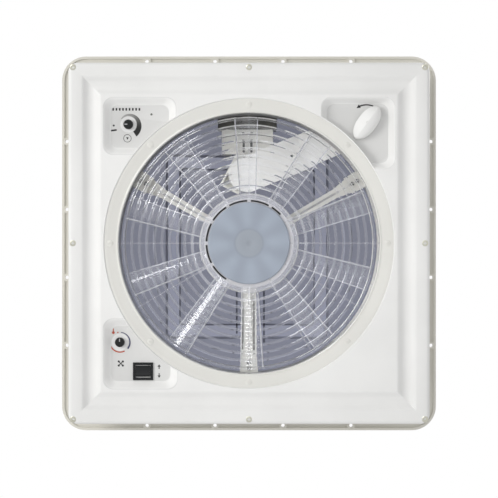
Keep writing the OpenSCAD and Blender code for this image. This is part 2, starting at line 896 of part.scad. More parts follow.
// Base under the cheeks, with a foot that reaches the roof frame's ledge
module gear_base_plan() {
    half = cheek_in + cheek_t + 1.5;
    translate(crank_at) rotate(lift_angle) translate([-bracket_back - 1, -half])
        square([gear_d + bracket_front + bracket_back + 2, 2*half]);
    translate([crank_at[0] + 4, foot_y[0]]) square([foot_x - crank_at[0] - 4, foot_y[1] - foot_y[0]]);
}

// Base, a wide tongue under the arm's root, two cheeks for the arm's pin and a bearing over the worm
module gear_bracket() {
    side = cheek_in + cheek_t;
    front = gear_d + bracket_front;
    tongue = lift_arm_w/2 - 1;
    color(white) difference() {
        union() {
            translate([0, 0, deck_z]) linear_extrude(base_t) gear_base_plan();
            at_crank() {
                for (y = [-side, cheek_in])
                    box(-bracket_back, front, y, y + cheek_t, deck_z + 1, crank_top + 1);
                box(1 - bracket_back, bearing_front, -cheek_in - 1, cheek_in + 1, bearing_z, crank_top);
                box(gear_d + tongue_from, gear_d + arm_wide_at + 4, -tongue, tongue,
                    deck_z + 0.5, deck_z + base_t - 0.5);
            }
        }
        translate(crank_at) disc(crank_r + run_gap, deck_z - 1, crank_top + 1);
        at_pivot() bar_y(arm_pin_r, side + 1);
        at_gear_screws() disc(large_hole, deck_z - 1, deck_z + base_t + 1);
    }
}

module bracket_screws() {
    color(steel) at_gear_screws() translate([0, 0, deck_z + base_t])
        mirror([0, 0, 1]) pan_screw(large_screw, base_t + flange_t);
}

// Almond between two arcs, with its points cut off
module knob_plan() {
    big = (pow(knob_l/2, 2) + pow(knob_w/2, 2))/knob_w;
    intersection() {
        translate([0, big - knob_w/2]) circle(big);
        translate([0, knob_w/2 - big]) circle(big);
        square([knob_l - knob_blunt, knob_w], center = true);
    }
}

module lift_knob() {
    low = face_z - knob_proud;
    high = lift_floor_z - knob_lift;
    color(white) translate(crank_at) difference() {
        union() {
            translate([0, 0, low]) rotate([0, 0, knob_angle]) linear_extrude(high - low - 0.2) knob_plan();
            disc(knob_boss_r, high - 3, high);
        }
        disc(crank_r, face_z + 1, 0);
        disc(grub_r, low - 1, face_z + 2);
    }
}

module knob_screw() {
    color(steel) translate([crank_at[0], crank_at[1], face_z + 1]) difference() {
        disc(grub_r, -grub_l, 0);
        disc(grub_r - 0.5, -grub_l - 1, 1 - grub_l);
    }
}

module crank_shaft() {
    color(steel) translate(crank_at) disc(crank_r, face_z + 1, crank_top + 2);
}

// Corners of the worm's thread after i steps round the shaft
function worm_row(i) =
    let (a = 360*i/worm_seg, z = worm_lead*(i/worm_seg - worm_turns/2), foot = worm_core - 0.4)
    [for (p = [[foot, -thread_foot], [worm_tip, -thread_crest],
               [worm_tip, thread_crest], [foot, thread_foot]])
        [p[0]*cos(a), p[0]*sin(a), z + p[1]]];

// Worm thread as one swept solid, right handed
module worm_thread() {
    points = [for (i = [0:worm_rows]) each worm_row(i)];
    last = 4*worm_rows;
    sides = [for (i = [0:worm_rows - 1], k = [0:3])
        [4*i + k, 4*i + (k + 1)%4, 4*i + 4 + (k + 1)%4, 4*i + 4 + k]];
    polyhedron(points, concat([[3, 2, 1, 0]], sides, [[last, last + 1, last + 2, last + 3]]));
}

module lift_worm() {
    color(brass) translate([crank_at[0], crank_at[1], pivot_z]) difference() {
        union() {
            disc(worm_core, -worm_half, worm_half);
            rotate([0, 0, lift_angle + 180]) worm_thread();
        }
        disc(crank_r, -worm_half - 1, worm_half + 1);
    }
}

// Gear teeth on the side of the hub that faces the worm; rising teeth come into mesh as the arm lifts
module gear_sector() {
    inner = tooth_root[0] - gear_R;
    outer = -tooth_tip[0] - gear_R;
    for (i = [-2:5]) rotate([0, 360/gear_teeth*i, 0]) rotate([90, 0, 0])
        linear_extrude(2*sector_half, center = true) polygon([
            [inner, -tooth_root[1]], [outer, -tooth_tip[1]], [outer, tooth_tip[1]], [inner, tooth_root[1]]
        ]);
    bar_y(gear_R - 1.9, sector_half - 0.5);
}

module lift_arm_plan() {
    end_x = lift_run - gear_d;
    half = lift_arm_w/2;
    neck = arm_hub_half - 0.5;
    translate([end_x, 0]) circle(half);
    polygon([
        [end_x, -half], [end_x, half], [arm_wide_at, half], [arm_neck_at, neck], [0, neck],
        [0, -neck], [arm_neck_at, -neck], [arm_wide_at, -half]
    ]);
}

module lift_arm() {
    color(white) difference() {
        union() {
            at_arm() translate([0, 0, -arm_drop]) linear_extrude(arm_t) lift_arm_plan();
            at_arm() mid_box(arm_hub_r - 1, arm_hub_half - 1, 1 - arm_drop, 0);
            at_pivot() bar_y(arm_hub_r, arm_hub_half);
            at_pivot() gear_sector();
            at_arm() translate([arm_len, 0, 0]) disc(ball_seat_r, -arm_drop + 1, -ball_r - 2);
        }
        at_pivot() bar_y(arm_pin_r + run_gap, arm_hub_half + 1);
        at_arm() for (x = arm_holes) translate([x, 0, 0]) disc(arm_hole_r, -arm_drop - 1, 0);
        at_arm() translate([arm_len, 0, 0]) disc(ball_post_r, -arm_drop - 1, 0);
    }
}

module arm_pin() {
    half = cheek_in + cheek_t;
    color(steel) at_pivot() {
        bar_y(arm_pin_r, half);
        for (s = [-1, 1]) translate([0, s*(half + pin_head[1]/2), 0])
            bar_y(arm_pin_r + 1.5, pin_head[1]/2);
    }
}

module lift_ball() {
    color(cream) at_arm() translate([arm_len, 0, 0]) {
        sphere(ball_r);
        disc(ball_post_r, -arm_drop + 1, 0);
        disc(ball_seat_r - 1, -ball_r - 2, 0);
    }
}

// One layer of the dome as a ring of points, drawn in by inset and lowered by drop
function dome_ring(l, inset, drop) = let (r = max(l[2] - inset, 1)) [
    for (q = [0:3], k = [0:corner_steps]) let (a = 90*q + 90*k/corner_steps,
        sx = (q == 0 || q == 3) ? 1 : -1, sy = (q < 2) ? 1 : -1)
        [sx*(l[0] - inset - r) + r*cos(a), sy*(l[1] - inset - r) + r*sin(a), l[3] - drop]
];

// Triangles between two neighbouring rings that start at points a and b
function ring_band(a, b) = [for (k = [0:ring_points - 1]) let (n = (k + 1)%ring_points)
    each [[a + k, b + k, b + n], [a + k, b + n, a + n]]];

// Shell of the dome: rings up the outside and, from the same foot, up the inside
module dome_loft() {
    count = len(dome_layers);
    outer = [for (l = dome_layers) each dome_ring(l, 0, 0)];
    inner = [for (l = dome_layers) each dome_ring(l, dome_wall, l[3] == dome_z0 ? 0 : dome_wall)];
    start = count*ring_points;
    up = [for (i = [0:count - 2]) each ring_band(ring_points*i, ring_points*(i + 1))];
    down = [for (i = [0:count - 2])
        each ring_band(start + ring_points*(i + 1), start + ring_points*i)];
    foot = ring_band(start, 0);
    lid = [for (k = [0:ring_points - 1]) start - ring_points + k];
    ceiling = [for (k = [ring_points - 1:-1:0]) 2*start - ring_points + k];
    polyhedron(concat(outer, inner), concat(up, down, foot, [lid], [ceiling]));
}

module dome_shell() {
    color(smoke) {
        dome_loft();
        square_tube(2*rib_half, rib_w, coaming_r + rib_half - coaming_w/2, seal_z + touch, rib_top);
        for (x = [hanger[0][0], hanger[0][1] - hanger_foot]) difference() {
            box(x, x + hanger_foot, hanger[1][0], hanger[1][1], hanger_top, dome_top - dome_wall + 0.4);
            at_hanger_screws() disc(large_screw[0], hanger_top - 1, hanger_top + 2.5);
        }
    }
}

// White hanger under the dome, with the runner that the lift ball slides in
module dome_hanger() {
    x = hanger[0];
    y = hanger[1];
    w = runner_wall;
    color(cream) difference() {
        union() {
            box(x[0], x[1], y[0], y[1], runner_z, runner_z + hanger_t);
            for (x0 = [x[0], x[1] - hanger_leg])
                box(x0, x0 + hanger_leg, y[0], y[1], runner_z, hanger_top);
            for (x0 = [x[0], x[1] - hanger_foot])
                box(x0, x0 + hanger_foot, y[0], y[1], hanger_top - hanger_leg, hanger_top);
            at_runner() box(-runner_back - w, runner_on + w, -runner_half - w, runner_half + w,
                runner_z - runner_depth, runner_z + hanger_t);
        }
        at_runner() box(-runner_back, runner_on, -runner_half, runner_half,
            runner_z - runner_depth - 1, runner_z);
        for (sx = slot_x)
            box(sx - 1, sx + 1, slot_y[0], slot_y[1], runner_z - 1, runner_z + hanger_t + 1);
        at_hanger_screws() disc(large_hole, hanger_top - hanger_leg - 1, hanger_top + 1);
    }
}

module at_runner() {
    translate([ball_rest[0], ball_rest[1], 0]) rotate([0, 0, runner_angle])
        translate([0, -runner_shift, 0]) children();
}

module at_hanger_screws() {
    for (x = [hanger[0][0] + 7.5, hanger[0][1] - 7.5], y = [hanger[1][0] + 8, hanger[1][1] - 8])
        translate([x, y, 0]) children();
}

// Dark shield in front of the hanger, towards the dome's opening edge
module hanger_shield() {
    x0 = hanger[0][0] - shield_side;
    x1 = hanger[0][1] + shield_side;
    color(black) {
        box(x0, x1, shield_y, hanger[1][0], runner_z, runner_z + shield_t);
        box(x0, x1, hanger[1][0] - shield_t, hanger[1][0], runner_z, hanger_top - 8);
    }
}

module hanger_screws() {
    color(steel) at_hanger_screws() translate([0, 0, hanger_top - hanger_leg])
        pan_screw(large_screw, hanger_leg + 2);
}

// Screw places on one leaf, at the dome's wall
module at_leaf_screws() {
    for (s = [-1, 1]) translate([s*leaf_screw_at[0], -hinge_back, leaf_screw_at[1]]) children();
}

module hinge_leaves() {
    color(white) at_hinges() difference() {
        union() {
            rotate([0, 90, 0]) cylinder(r = knuckle_r, h = 2*leaf_half, center = true);
            box(-leaf_half, leaf_half, -hinge_back, 0, -2, knuckle_r);
            box(-leaf_half - leaf_wing, leaf_half + leaf_wing, -hinge_back, leaf_t - hinge_back,
                knuckle_r + 3, leaf_top);
            box(-leaf_half, leaf_half, -hinge_back, leaf_t - hinge_back, -2, leaf_top);
        }
        rotate([0, 90, 0]) cylinder(r = pin_r + run_gap, h = 3*leaf_half, center = true);
        at_leaf_screws() bar_y(large_hole, leaf_t);
    }
}

module leaf_screws() {
    color(steel) at_hinges() at_leaf_screws() translate([0, leaf_t, 0])
        rotate([90, 0, 0]) pan_screw(large_screw, leaf_t);
}

roof_frame();
dome_seal();
hinge_pins();
ceiling_frame();
frame_screws();
fan_duct();
guard_ring();
fan_guard();
guard_cap();
guard_screws();
motor_spider();
spider_screws();
motor();
motor_screws();
motor_shaft();
fan_rotor();
fan_nut();
speed_pot();
speed_knob();
thermostat_pot();
thermostat_knob();
switch_body();
switch_rocker();
switch_terminals();
status_led();
control_board();
board_screws();
supply_terminal();
gear_bracket();
bracket_screws();
lift_knob();
knob_screw();
crank_shaft();
lift_worm();
lift_arm();
arm_pin();
lift_ball();
dome_shell();
dome_hanger();
hanger_shield();
hanger_screws();
hinge_leaves();
leaf_screws();
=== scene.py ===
"""Looks of a powered roof vent: finishes, printed marks and fine detail round its CAD model."""

import math

import bmesh
import bpy
from bpy.props import FloatProperty, FloatVectorProperty, IntProperty, PointerProperty
from mathutils import Matrix, Vector


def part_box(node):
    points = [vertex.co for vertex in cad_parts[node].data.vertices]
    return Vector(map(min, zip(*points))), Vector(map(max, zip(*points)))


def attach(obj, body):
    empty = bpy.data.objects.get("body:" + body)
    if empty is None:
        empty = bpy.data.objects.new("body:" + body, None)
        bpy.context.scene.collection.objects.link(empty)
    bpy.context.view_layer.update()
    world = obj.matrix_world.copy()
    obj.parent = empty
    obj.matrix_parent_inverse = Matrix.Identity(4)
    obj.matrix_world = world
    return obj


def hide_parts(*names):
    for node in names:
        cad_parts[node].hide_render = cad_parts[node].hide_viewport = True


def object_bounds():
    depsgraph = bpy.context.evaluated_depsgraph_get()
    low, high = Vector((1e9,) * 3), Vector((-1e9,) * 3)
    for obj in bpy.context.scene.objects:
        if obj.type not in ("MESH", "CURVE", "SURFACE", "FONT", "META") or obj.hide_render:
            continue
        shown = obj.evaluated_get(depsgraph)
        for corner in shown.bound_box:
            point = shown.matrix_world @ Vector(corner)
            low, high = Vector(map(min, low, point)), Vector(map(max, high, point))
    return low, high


bl_info = {
    "name": "Roof vent looks",
    "version": (1, 0, 0),
    "blender": (4, 5, 0),
    "location": "3D View > Sidebar > Roof vent",
    "description": "Finishes, printed marks and fine detail for a powered roof vent",
    "category": "Object",
}

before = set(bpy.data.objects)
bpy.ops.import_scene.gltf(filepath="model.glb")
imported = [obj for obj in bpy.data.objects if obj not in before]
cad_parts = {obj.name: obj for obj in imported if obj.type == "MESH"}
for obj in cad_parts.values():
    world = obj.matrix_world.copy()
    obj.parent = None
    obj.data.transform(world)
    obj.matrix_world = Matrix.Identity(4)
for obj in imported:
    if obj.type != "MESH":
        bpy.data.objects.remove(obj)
CAD_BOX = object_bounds()

MM = 0.001
TURN = 2 * math.pi
ORIGIN = (0.0, 0.0)
SQUARE = ((-1, -1), (1, -1), (1, 1), (-1, 1))
PLASTIC_IOR = 1.49


def low_z(node):
    """Height of a CAD node's lowest face."""
    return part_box(node)[0].z


def high_z(node):
    """Height of a CAD node's highest face."""
    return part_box(node)[1].z


def middle(node):
    """Middle of a CAD node's box."""
    low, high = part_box(node)
    return (low + high) / 2


def half_width(node):
    """Half of a CAD node's size along X."""
    low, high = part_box(node)
    return (high.x - low.x) / 2


# Places and sizes that the CAD model gives, in metres. The room is below, so low faces are seen.
FACE_Z = low_z("ceiling_frame")
FRAME_HALF = half_width("ceiling_frame")
GUARD_Z = high_z("guard_ring")
RING_OUT = half_width("guard_ring")
RING_IN = RING_OUT - 16.8 * MM
SEAT_R = RING_OUT + 0.05 * MM
CAP_R = half_width("guard_cap")
FAN_Z = FACE_Z + 20 * MM
FLOOR_Z = low_z("status_led") - 0.2 * MM
LIFT_FLOOR_Z = high_z("lift_knob") + 0.4 * MM
SPEED_AT = middle("speed_knob")
THERMOSTAT_AT = middle("thermostat_knob")
SWITCH_AT = middle("switch_body")
CRANK_AT = middle("crank_shaft")


def colour_setting(name, description, red, green, blue):
    """A colour that a user may change."""
    return FloatVectorProperty(
        name=name, description=description, subtype="COLOR", size=4,
        default=(red, green, blue, 1.0), min=0.0, max=1.0,
    )


def length_setting(name, description, default, low, high):
    """A length that a user may change."""
    return FloatProperty(
        name=name, description=description, unit="LENGTH", default=default, min=low, max=high,
    )


class RoofVentColours(bpy.types.PropertyGroup):
    """Colours of the finishes."""

    white: colour_setting("White plastic", "Frames, knob and lift arm", 0.83, 0.83, 0.82)
    cream: colour_setting("Cream plastic", "Guard ring, motor spider and hanger", 0.74, 0.735, 0.70)
    clear: colour_setting("Clear plastic", "Haze of the guard and the fan", 0.68, 0.69, 0.735)
    frosted: colour_setting("Frosted plastic", "Cap in the middle of the guard", 0.30, 0.338, 0.402)
    smoke: colour_setting("Smoked plastic", "Body colour of the dome", 0.10, 0.105, 0.14)
    smoke_film: colour_setting(
        "Smoked light", "Light that comes through one wall of the dome", 0.235, 0.245, 0.305)
    black: colour_setting("Black plastic", "Knobs, switch and shield", 0.012, 0.013, 0.014)
    steel: colour_setting("Plated steel", "Screws, pins, shafts and motor", 0.66, 0.66, 0.65)
    brass: colour_setting("Brass", "Worm and terminals", 0.72, 0.55, 0.25)
    board: colour_setting("Circuit board", "Board and its terminal block", 0.03, 0.16, 0.07)


class RoofVentSizes(bpy.types.PropertyGroup):
    """Sizes of the details that the CAD model leaves plain, and of the view."""

    pocket_slope: length_setting(
        "Pocket slope", "Width of the soft wall round a control pocket", 11 * MM, 2 * MM, 14 * MM)
    print_t: length_setting(
        "Print thickness", "Thickness of a printed mark", 0.12 * MM, 0.05 * MM, 0.3 * MM)
    ring_w: length_setting(
        "Guard ring width", "Width of a clear ring in the guard", 3.6 * MM, 2 * MM, 4 * MM)
    flutes: IntProperty(
        name="Knob flutes", description="Number of grip flutes round a control knob",
        default=24, min=8, max=40,
    )
    camera_distance: length_setting(
        "Camera distance", "Camera below the ceiling frame's face", 2.2, 1.0, 5.0)
    view_width: length_setting(
        "View width", "Width that the picture takes in at the face", 0.6053, 0.5, 1.0)


class Paint:
    """A shader socket that takes part in sums; a sum on values adds its Math nodes."""

    def __init__(self, tree, socket=None):
        self.tree = tree
        self.socket = socket

    def node(self, kind, inputs=None, settings=None, out=0):
        """Adds a node of a kind, sets it up, fills or links its inputs and gives back one output."""
        made = self.tree.nodes.new(f"ShaderNode{kind}")
        for key, value in (settings or {}).items():
            setattr(made, key, value)
        for key, value in (inputs or {}).items():
            if isinstance(value, Paint):
                self.tree.links.new(value.socket, made.inputs[key])
            else:
                made.inputs[key].default_value = value
        return Paint(self.tree, made.outputs[out]) if made.outputs else None

    def math(self, operation, first, second=0.0):
        """A Math node on two values."""
        return self.node("Math", {0: first, 1: second}, {"operation": operation})

    def __add__(self, other):
        return self.math("ADD", self, other)

    def __sub__(self, other):
        return self.math("SUBTRACT", self, other)

    def __rsub__(self, other):
        return self.math("SUBTRACT", other, self)

    def __mul__(self, other):
        return self.math("MULTIPLY", self, other)

    def __abs__(self):
        return self.math("ABSOLUTE", self)

    __radd__ = __add__
    __rmul__ = __mul__

    def ramp(self, low, high):
        """Nought below low, one above high and smooth in between."""
        limits = {"Value": self, "From Min": low, "From Max": high}
        return self.node("MapRange", limits, {"interpolation_type": "SMOOTHSTEP"})

    def mix(self, factor, first, second):
        """A colour between two colours."""
        return self.node("Mix", {0: factor, 6: first, 7: second}, {"data_type": "RGBA"}, 2)

    def blend(self, factor, first, second):
        """A surface between two surfaces."""
        return self.node("MixShader", {0: factor, 1: first, 2: second})

    def vector(self, operation, *vectors):
        """A Vector Math node that gives a vector."""
        return self.node("VectorMath", dict(enumerate(vectors)), {"operation": operation})

    def length(self):
        """Length of this vector."""
        return self.node("VectorMath", {0: self}, {"operation": "LENGTH"}, "Value")

    def part(self, axis):
        """One part of this vector: X, Y or Z."""
        return self.node("SeparateXYZ", {0: self}, out=axis)

    def place(self):
        """Place on the object."""
        return self.node("TexCoord", out="Object")

    def noise(self, scale, detail=2.0):
        """Noise over the object, with so many lumps to a metre."""
        return self.node("TexNoise", {"Vector": self.place(), "Scale": scale, "Detail": detail})

    def bumps(self, height, depth, strength=0.4):
        """A normal with the bumps of a height between nought and one."""
        return self.node("Bump", {"Height": height, "Distance": depth, "Strength": strength})

    def surface(self, colour, rough, more=None):
        """A Principled surface."""
        return self.node("BsdfPrincipled", {"Base Color": colour, "Roughness": rough, **(more or {})})


def shade(colour, by=1.0):
    """A colour with its brightness times a number."""
    return (colour[0] * by, colour[1] * by, colour[2] * by, 1.0)


def moulded(start, colour, rough, coat=0.0, shine=0.5):
    """Opaque moulded plastic: faint clouding, a fine spark-eroded grain and a soft sheen."""
    cloud = start.noise(16.0, 4.0).ramp(0.3, 0.7)
    grain = start.noise(1400.0)
    clouded = start.mix(cloud, shade(colour, 0.965), shade(colour))
    return start.surface(clouded, rough - 0.06 + 0.12 * grain, {
        "Specular IOR Level": shine,
        "Coat Weight": coat,
        "Coat Roughness": 0.25,
        "Normal": start.bumps(grain, 0.03 * MM),
    })


def pocket_plastic_painted_shade(start, colour, rough):
    """White plastic with a coarser grain, and painted shade that makes level ground, the pocket floors,
    greyer than a slope.
    """
    upright = start.node("NewGeometry", out="Normal").part("Z")
    # Painted shade: level faces are made darker than sloped ones.
    level = abs(upright).ramp(0.86, 0.99)
    grain = start.noise(1100.0)
    return start.surface(
        start.mix(level, shade(colour), shade(colour, 0.82)), rough - 0.06 + 0.12 * grain,
        {"Normal": start.bumps(grain, 0.04 * MM)},
    )


def duct_plastic_painted_light(start, dark, pale):
    """Duct plastic with painted light and shade: pale on the side that faces the light from the left, dark
    elsewhere.
    """
    across = start.node("NewGeometry", out="Normal").part("X")
    mottle = start.noise(120.0, 4.0)
    # Painted light: walls that face the left are pale, and the others get painted shade.
    painted_lit_side = (0.1 * mottle - across).ramp(0.55, 0.95)
    return start.surface(start.mix(painted_lit_side, shade(dark), shade(pale)), 0.45 + 0.1 * mottle)


def let_lamps_through(start, body):
    """The same surface, but clear to the rays that look for a lamp, so what lies behind is lit."""
    shadow = start.node("LightPath", out="Is Shadow Ray")
    return start.blend(shadow, body, start.node("BsdfTransparent", {"Color": (0.985, 0.985, 0.99, 1.0)}))


def clear_plastic(start, colour, haze, gate_haze_and_sheen=0.0, coat=0.0):
    """Clear moulded plastic that bends the light, with a haze that grows towards the middle, partly as
    painted highlight on the rings there.
    """
    flow = start.noise(60.0, 3.0)
    clear = start.surface((0.985, 0.988, 0.995, 1.0), 0.03 + 0.02 * flow, {
        "IOR": PLASTIC_IOR,
        "Transmission Weight": 1.0,
        "Coat Weight": coat,
        "Coat Roughness": 0.14,
    })
    milky = start.mix(flow, shade(colour, 0.94), shade(colour))
    cloudy = start.surface(milky, 0.2 + 0.1 * flow, {"IOR": PLASTIC_IOR})
    # Haze near the middle: partly a milky finish, partly painted highlight that whitens the rings near the
    # hub.
    near_hub = 1.0 - start.place().length().ramp(74 * MM, 96 * MM)
    share = haze + 0.02 * flow + gate_haze_and_sheen * near_hub
    return let_lamps_through(start, start.blend(share, clear, cloudy))


def smoked_plastic_painted_shade(start, colour, film):
    """Smoked sheet: a tinted film with painted shade, denser where the sheet slopes so that the folds show
    as dark lines, and denser towards -Y than towards +Y.
    """
    slope = 1.0 - abs(start.node("NewGeometry", out="True Normal").part("Z"))
    cloud = start.noise(22.0, 3.0)
    tint = start.mix(cloud, shade(colour, 0.9), shade(colour, 1.05))
    skin = start.surface(tint, 0.16 + 0.12 * cloud, {"IOR": PLASTIC_IOR})
    through = start.node("BsdfTransparent", {"Color": shade(film)})
    along = start.place().part("Y")
    # Painted shade: more of the dark skin on slopes and towards -Y.
    share = 0.3 - 0.2 * along.ramp(-160 * MM, 160 * MM) + 0.7 * slope.ramp(0.12, 0.3)
    return start.blend(share, through, skin)


def frosted_plastic(start, colour, middle_grey):
    """Frosted cap with painted light and shade: eight soft bright streaks where ribs behind it would show
    through, a faint darker ring over its shallow ring and a dim middle at its dimple.
    """
    where = start.place()
    across, along = [where.part(axis) for axis in "XY"]
    radius = start.node("CombineXYZ", {"X": across, "Y": along}).length()
    turn = start.math("ARCTAN2", along, across)
    wave = start.math("COSINE", 8.0 * turn + 0.6)
    painted_streak = (0.5 + 0.5 * wave) * radius.ramp(14 * MM, 30 * MM)
    ring = radius.ramp(15 * MM, 17 * MM) * (1.0 - radius.ramp(17 * MM, 20 * MM))
    painted_dim_middle = 1.0 - radius.ramp(1.5 * MM, 5 * MM)
    # Painted light and shade: the streaks lighten, and the ring and the middle darken.
    light = 0.25 + 0.5 * painted_streak + 0.4 * start.noise(45.0, 4.0) - 0.3 * ring - 0.4 * painted_dim_middle
    blue = start.mix(light, shade(colour, 0.88), shade(colour, 1.16))
    middle_disc = 1.0 - radius.ramp(15 * MM, 19 * MM)
    grain = start.noise(2200.0)
    return start.surface(start.mix(0.3 * middle_disc, blue, shade(middle_grey)), 0.42 + 0.1 * grain, {
        "Normal": start.bumps(grain, 0.03 * MM, 0.3),
        "IOR": PLASTIC_IOR,
        "Alpha": 0.94,
    })


def plated_steel(start, colour):
    """Plated metal with fine brushing and dull patches."""
    drawn = start.node("Mapping", {"Vector": start.place(), "Scale": (300.0, 300.0, 2600.0)})
    brushing = start.node("TexNoise", {"Vector": drawn, "Scale": 1.0, "Detail": 2.0})
    dull = start.noise(180.0, 4.0)
    return start.surface(start.mix(dull, shade(colour, 0.82), shade(colour, 1.05)), 0.26 + 0.2 * dull, {
        "Metallic": 1.0,
        "Normal": start.bumps(brushing, 0.02 * MM, 0.3),
    })


def soft_rubber(start, black, bloomed):
    """Black rubber with a powdery bloom."""
    bloom = start.noise(70.0, 5.0)
    return start.surface(
        start.mix(bloom.ramp(0.45, 0.8), shade(black), shade(bloomed)), 0.7 + 0.15 * bloom,
        {"Normal": start.bumps(start.noise(900.0), 0.05 * MM)},
    )


def circuit_board(start, colour):
    """Green lacquer over copper tracks."""
    tracks = start.node("TexBrick", {
        "Vector": start.place(), "Scale": 90.0, "Mortar Size": 0.03, "Brick Width": 0.9, "Row Height": 0.22,
    }, out="Fac")
    return start.surface(
        start.mix(tracks, shade(colour), shade(colour, 1.8)), 0.3 + 0.1 * start.noise(700.0),
        {"Normal": start.bumps(tracks, 0.04 * MM)},
    )


def ink(start, colour):
    """Printed ink with a slightly broken film."""
    speck = start.noise(2600.0)
    return start.surface(start.mix(speck, shade(colour, 0.9), shade(colour, 1.15)), 0.4 + 0.15 * speck)


def graded_ink(start, centre, first_angle, sweep, pale, dark):
    """Ink that darkens round a dial, from pale at the first angle to dark after the sweep."""
    away = start.vector("SUBTRACT", start.place(), tuple(centre))
    across, along = [away.part(axis) for axis in "XY"]
    turn = start.math("ARCTAN2", along, across) - first_angle + TURN
    part = start.math("MODULO", turn, TURN) * (1.0 / sweep)
    shown = start.mix(part.ramp(0.1, 0.85), shade(pale), shade(dark))
    return start.surface(shown, 0.4 + 0.15 * start.noise(2600.0))


def one_way_floor(start, dark, pale):
    """Pale paint above, and nothing at all from below."""
    paint = start.surface(start.mix(start.noise(30.0), shade(dark), shade(pale)), 0.7)
    below = start.node("NewGeometry", out="Backfacing")
    return start.blend(below, paint, start.node("BsdfTransparent"))


def new_finish(name, recipe, *values):
    """A material whose surface is what a recipe makes of some values."""
    made = bpy.data.materials.new(name)
    made.use_nodes = True
    made.node_tree.nodes.clear()
    start = Paint(made.node_tree)
    start.node("OutputMaterial", {"Surface": recipe(start, *values)})
    return made


def make_finishes(colours):
    """Makes every finish on the object."""
    dial = (SPEED_AT, math.radians(-142), math.radians(198))
    finishes = {
        "white_moulding": (moulded, colours.white, 0.42, 0.15),
        "pocket_painted_shade": (pocket_plastic_painted_shade, colours.white, 0.55),
        "cream_moulding": (moulded, colours.cream, 0.45),
        "ring_moulding": (moulded, colours.cream, 0.34, 0.3),
        # Painted shade: the white made darker for the lift arm and its bracket deep in the dome.
        "arm_painted_shade_moulding": (moulded, shade(colours.white, 0.86), 0.45),
        # Painted shade: the cream made darker for the motor spider and the duct.
        "spider_painted_shade_moulding": (moulded, shade(colours.cream, 0.62), 0.45),
        # Painted shade: a darker, warmer copy of the white for the roof frame and hinge leaves, for the
        # shadow and warm bounce light on them.
        "roof_painted_shade_moulding": (moulded, (0.76, 0.742, 0.675), 0.45, 0.1),
        # Black plastic, also used for painted shadow.
        "black_and_shadow_moulding": (moulded, colours.black, 0.5, 0.0, 0.3),
        # Dark plastic of the hanger's shield, also used for painted shadow.
        "shield_and_shadow_moulding": (moulded, (0.075, 0.075, 0.065), 0.5),
        "duct_painted_light": (duct_plastic_painted_light, (0.18, 0.18, 0.178), shade(colours.cream, 0.9)),
        "cap_seat": (moulded, (0.52, 0.52, 0.55), 0.5),
        "clear_guard": (clear_plastic, colours.clear, 0.02, 0.2),
        "clear_fan": (clear_plastic, colours.clear, 0.02, 0.0, 0.05),
        # Painted highlight: a hazy clear finish along the blades' edges.
        "blade_rim_highlight": (clear_plastic, colours.clear, 0.4),
        "lamp_lens": (clear_plastic, (0.16, 0.17, 0.15), 0.85),
        "frosted_cap": (frosted_plastic, colours.frosted, (0.33, 0.345, 0.355)),
        "smoked_sheet": (smoked_plastic_painted_shade, colours.smoke, colours.smoke_film),
        "smoked_band": (smoked_plastic_painted_shade, colours.smoke, shade(colours.smoke_film, 1.32)),
        "seal_rubber": (soft_rubber, (0.018, 0.018, 0.018), (0.05, 0.05, 0.05)),
        "zinc_steel": (plated_steel, colours.steel),
        "yellow_zinc": (plated_steel, (0.80, 0.79, 0.68)),
        "turned_brass": (plated_steel, colours.brass),
        "green_board": (circuit_board, colours.board),
        "graded_ink": (graded_ink, *dial, (0.36, 0.36, 0.35), (0.012, 0.012, 0.012)),
        "grey_ink": (ink, (0.40, 0.40, 0.42)),
        "black_ink": (ink, (0.014, 0.014, 0.015)),
        "red_ink": (ink, (0.45, 0.08, 0.04)),
        "blue_ink": (ink, (0.03, 0.035, 0.11)),
        "white_ink": (ink, (0.78, 0.78, 0.78)),
    }
    for name, (recipe, *values) in finishes.items():
        new_finish(name, recipe, *values)


def finish_named(name):
    """A finish that has been made, or an error that says which one is missing."""
    found = bpy.data.materials.get(name)
    if found is None:
        raise RuntimeError(f"the finish {name} hasn't been made yet")
    return found


def dress(finish, *nodes):
    """Gives CAD nodes a finish."""
    for node in nodes:
        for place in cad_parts[node].material_slots:
            place.material = finish_named(finish)


def polar(centre, radius, angle):
    """Level point at a radius and an angle round a centre."""
    return (centre[0] + radius * math.cos(angle), centre[1] + radius * math.sin(angle))


def beside(place, across, along):
    """Point so many millimetres from a place, in both of its directions."""
    return (place[0] + across * MM, place[1] + along * MM)


def circle(radius, z, count=64, centre=ORIGIN):
    """Points round a level circle."""
    return [(*polar(centre, radius, TURN * i / count), z) for i in range(count)]


def round_square(half_x, half_y, radius, z, steps=6):
    """Points round a level rectangle with round corners."""
    points = []
    for quarter, (side_x, side_y) in enumerate(((1, 1), (-1, 1), (-1, -1), (1, -1))):
        corner = (side_x * (half_x - radius), side_y * (half_y - radius))
        for k in range(steps + 1):
            points.append((*polar(corner, radius, TURN / 4 * (quarter + k / steps)), z))
    return points


def pairs_round(ring):
    """Each item of a closed ring with the one that follows it."""
    return zip(ring, ring[1:] + ring[:1])


def bridge(bm, first, second):
    """Quads between two closed rings of vertices."""
    for (a, b), (c, d) in zip(pairs_round(first), pairs_round(second)):
        bm.faces.new((a, b, d, c))


def loft(bm, rings, ends="open"):
    """Skin through rings of points. Its ends are left open, capped or joined to each other."""
    made = [[bm.verts.new(point) for point in ring] for ring in rings]
    for first, second in zip(made, made[1:]):
        bridge(bm, first, second)
    if ends == "joined":
        bridge(bm, made[-1], made[0])
    elif ends == "capped":
        bm.faces.new(made[0])
        bm.faces.new(made[-1])
    return made


def turned(bm, profile, count=96, centre=ORIGIN, ends="joined"):
    """A turned form: a profile of radius and height, carried round an upright axis."""
    return loft(bm, [circle(radius, z, count, centre) for radius, z in profile], ends)


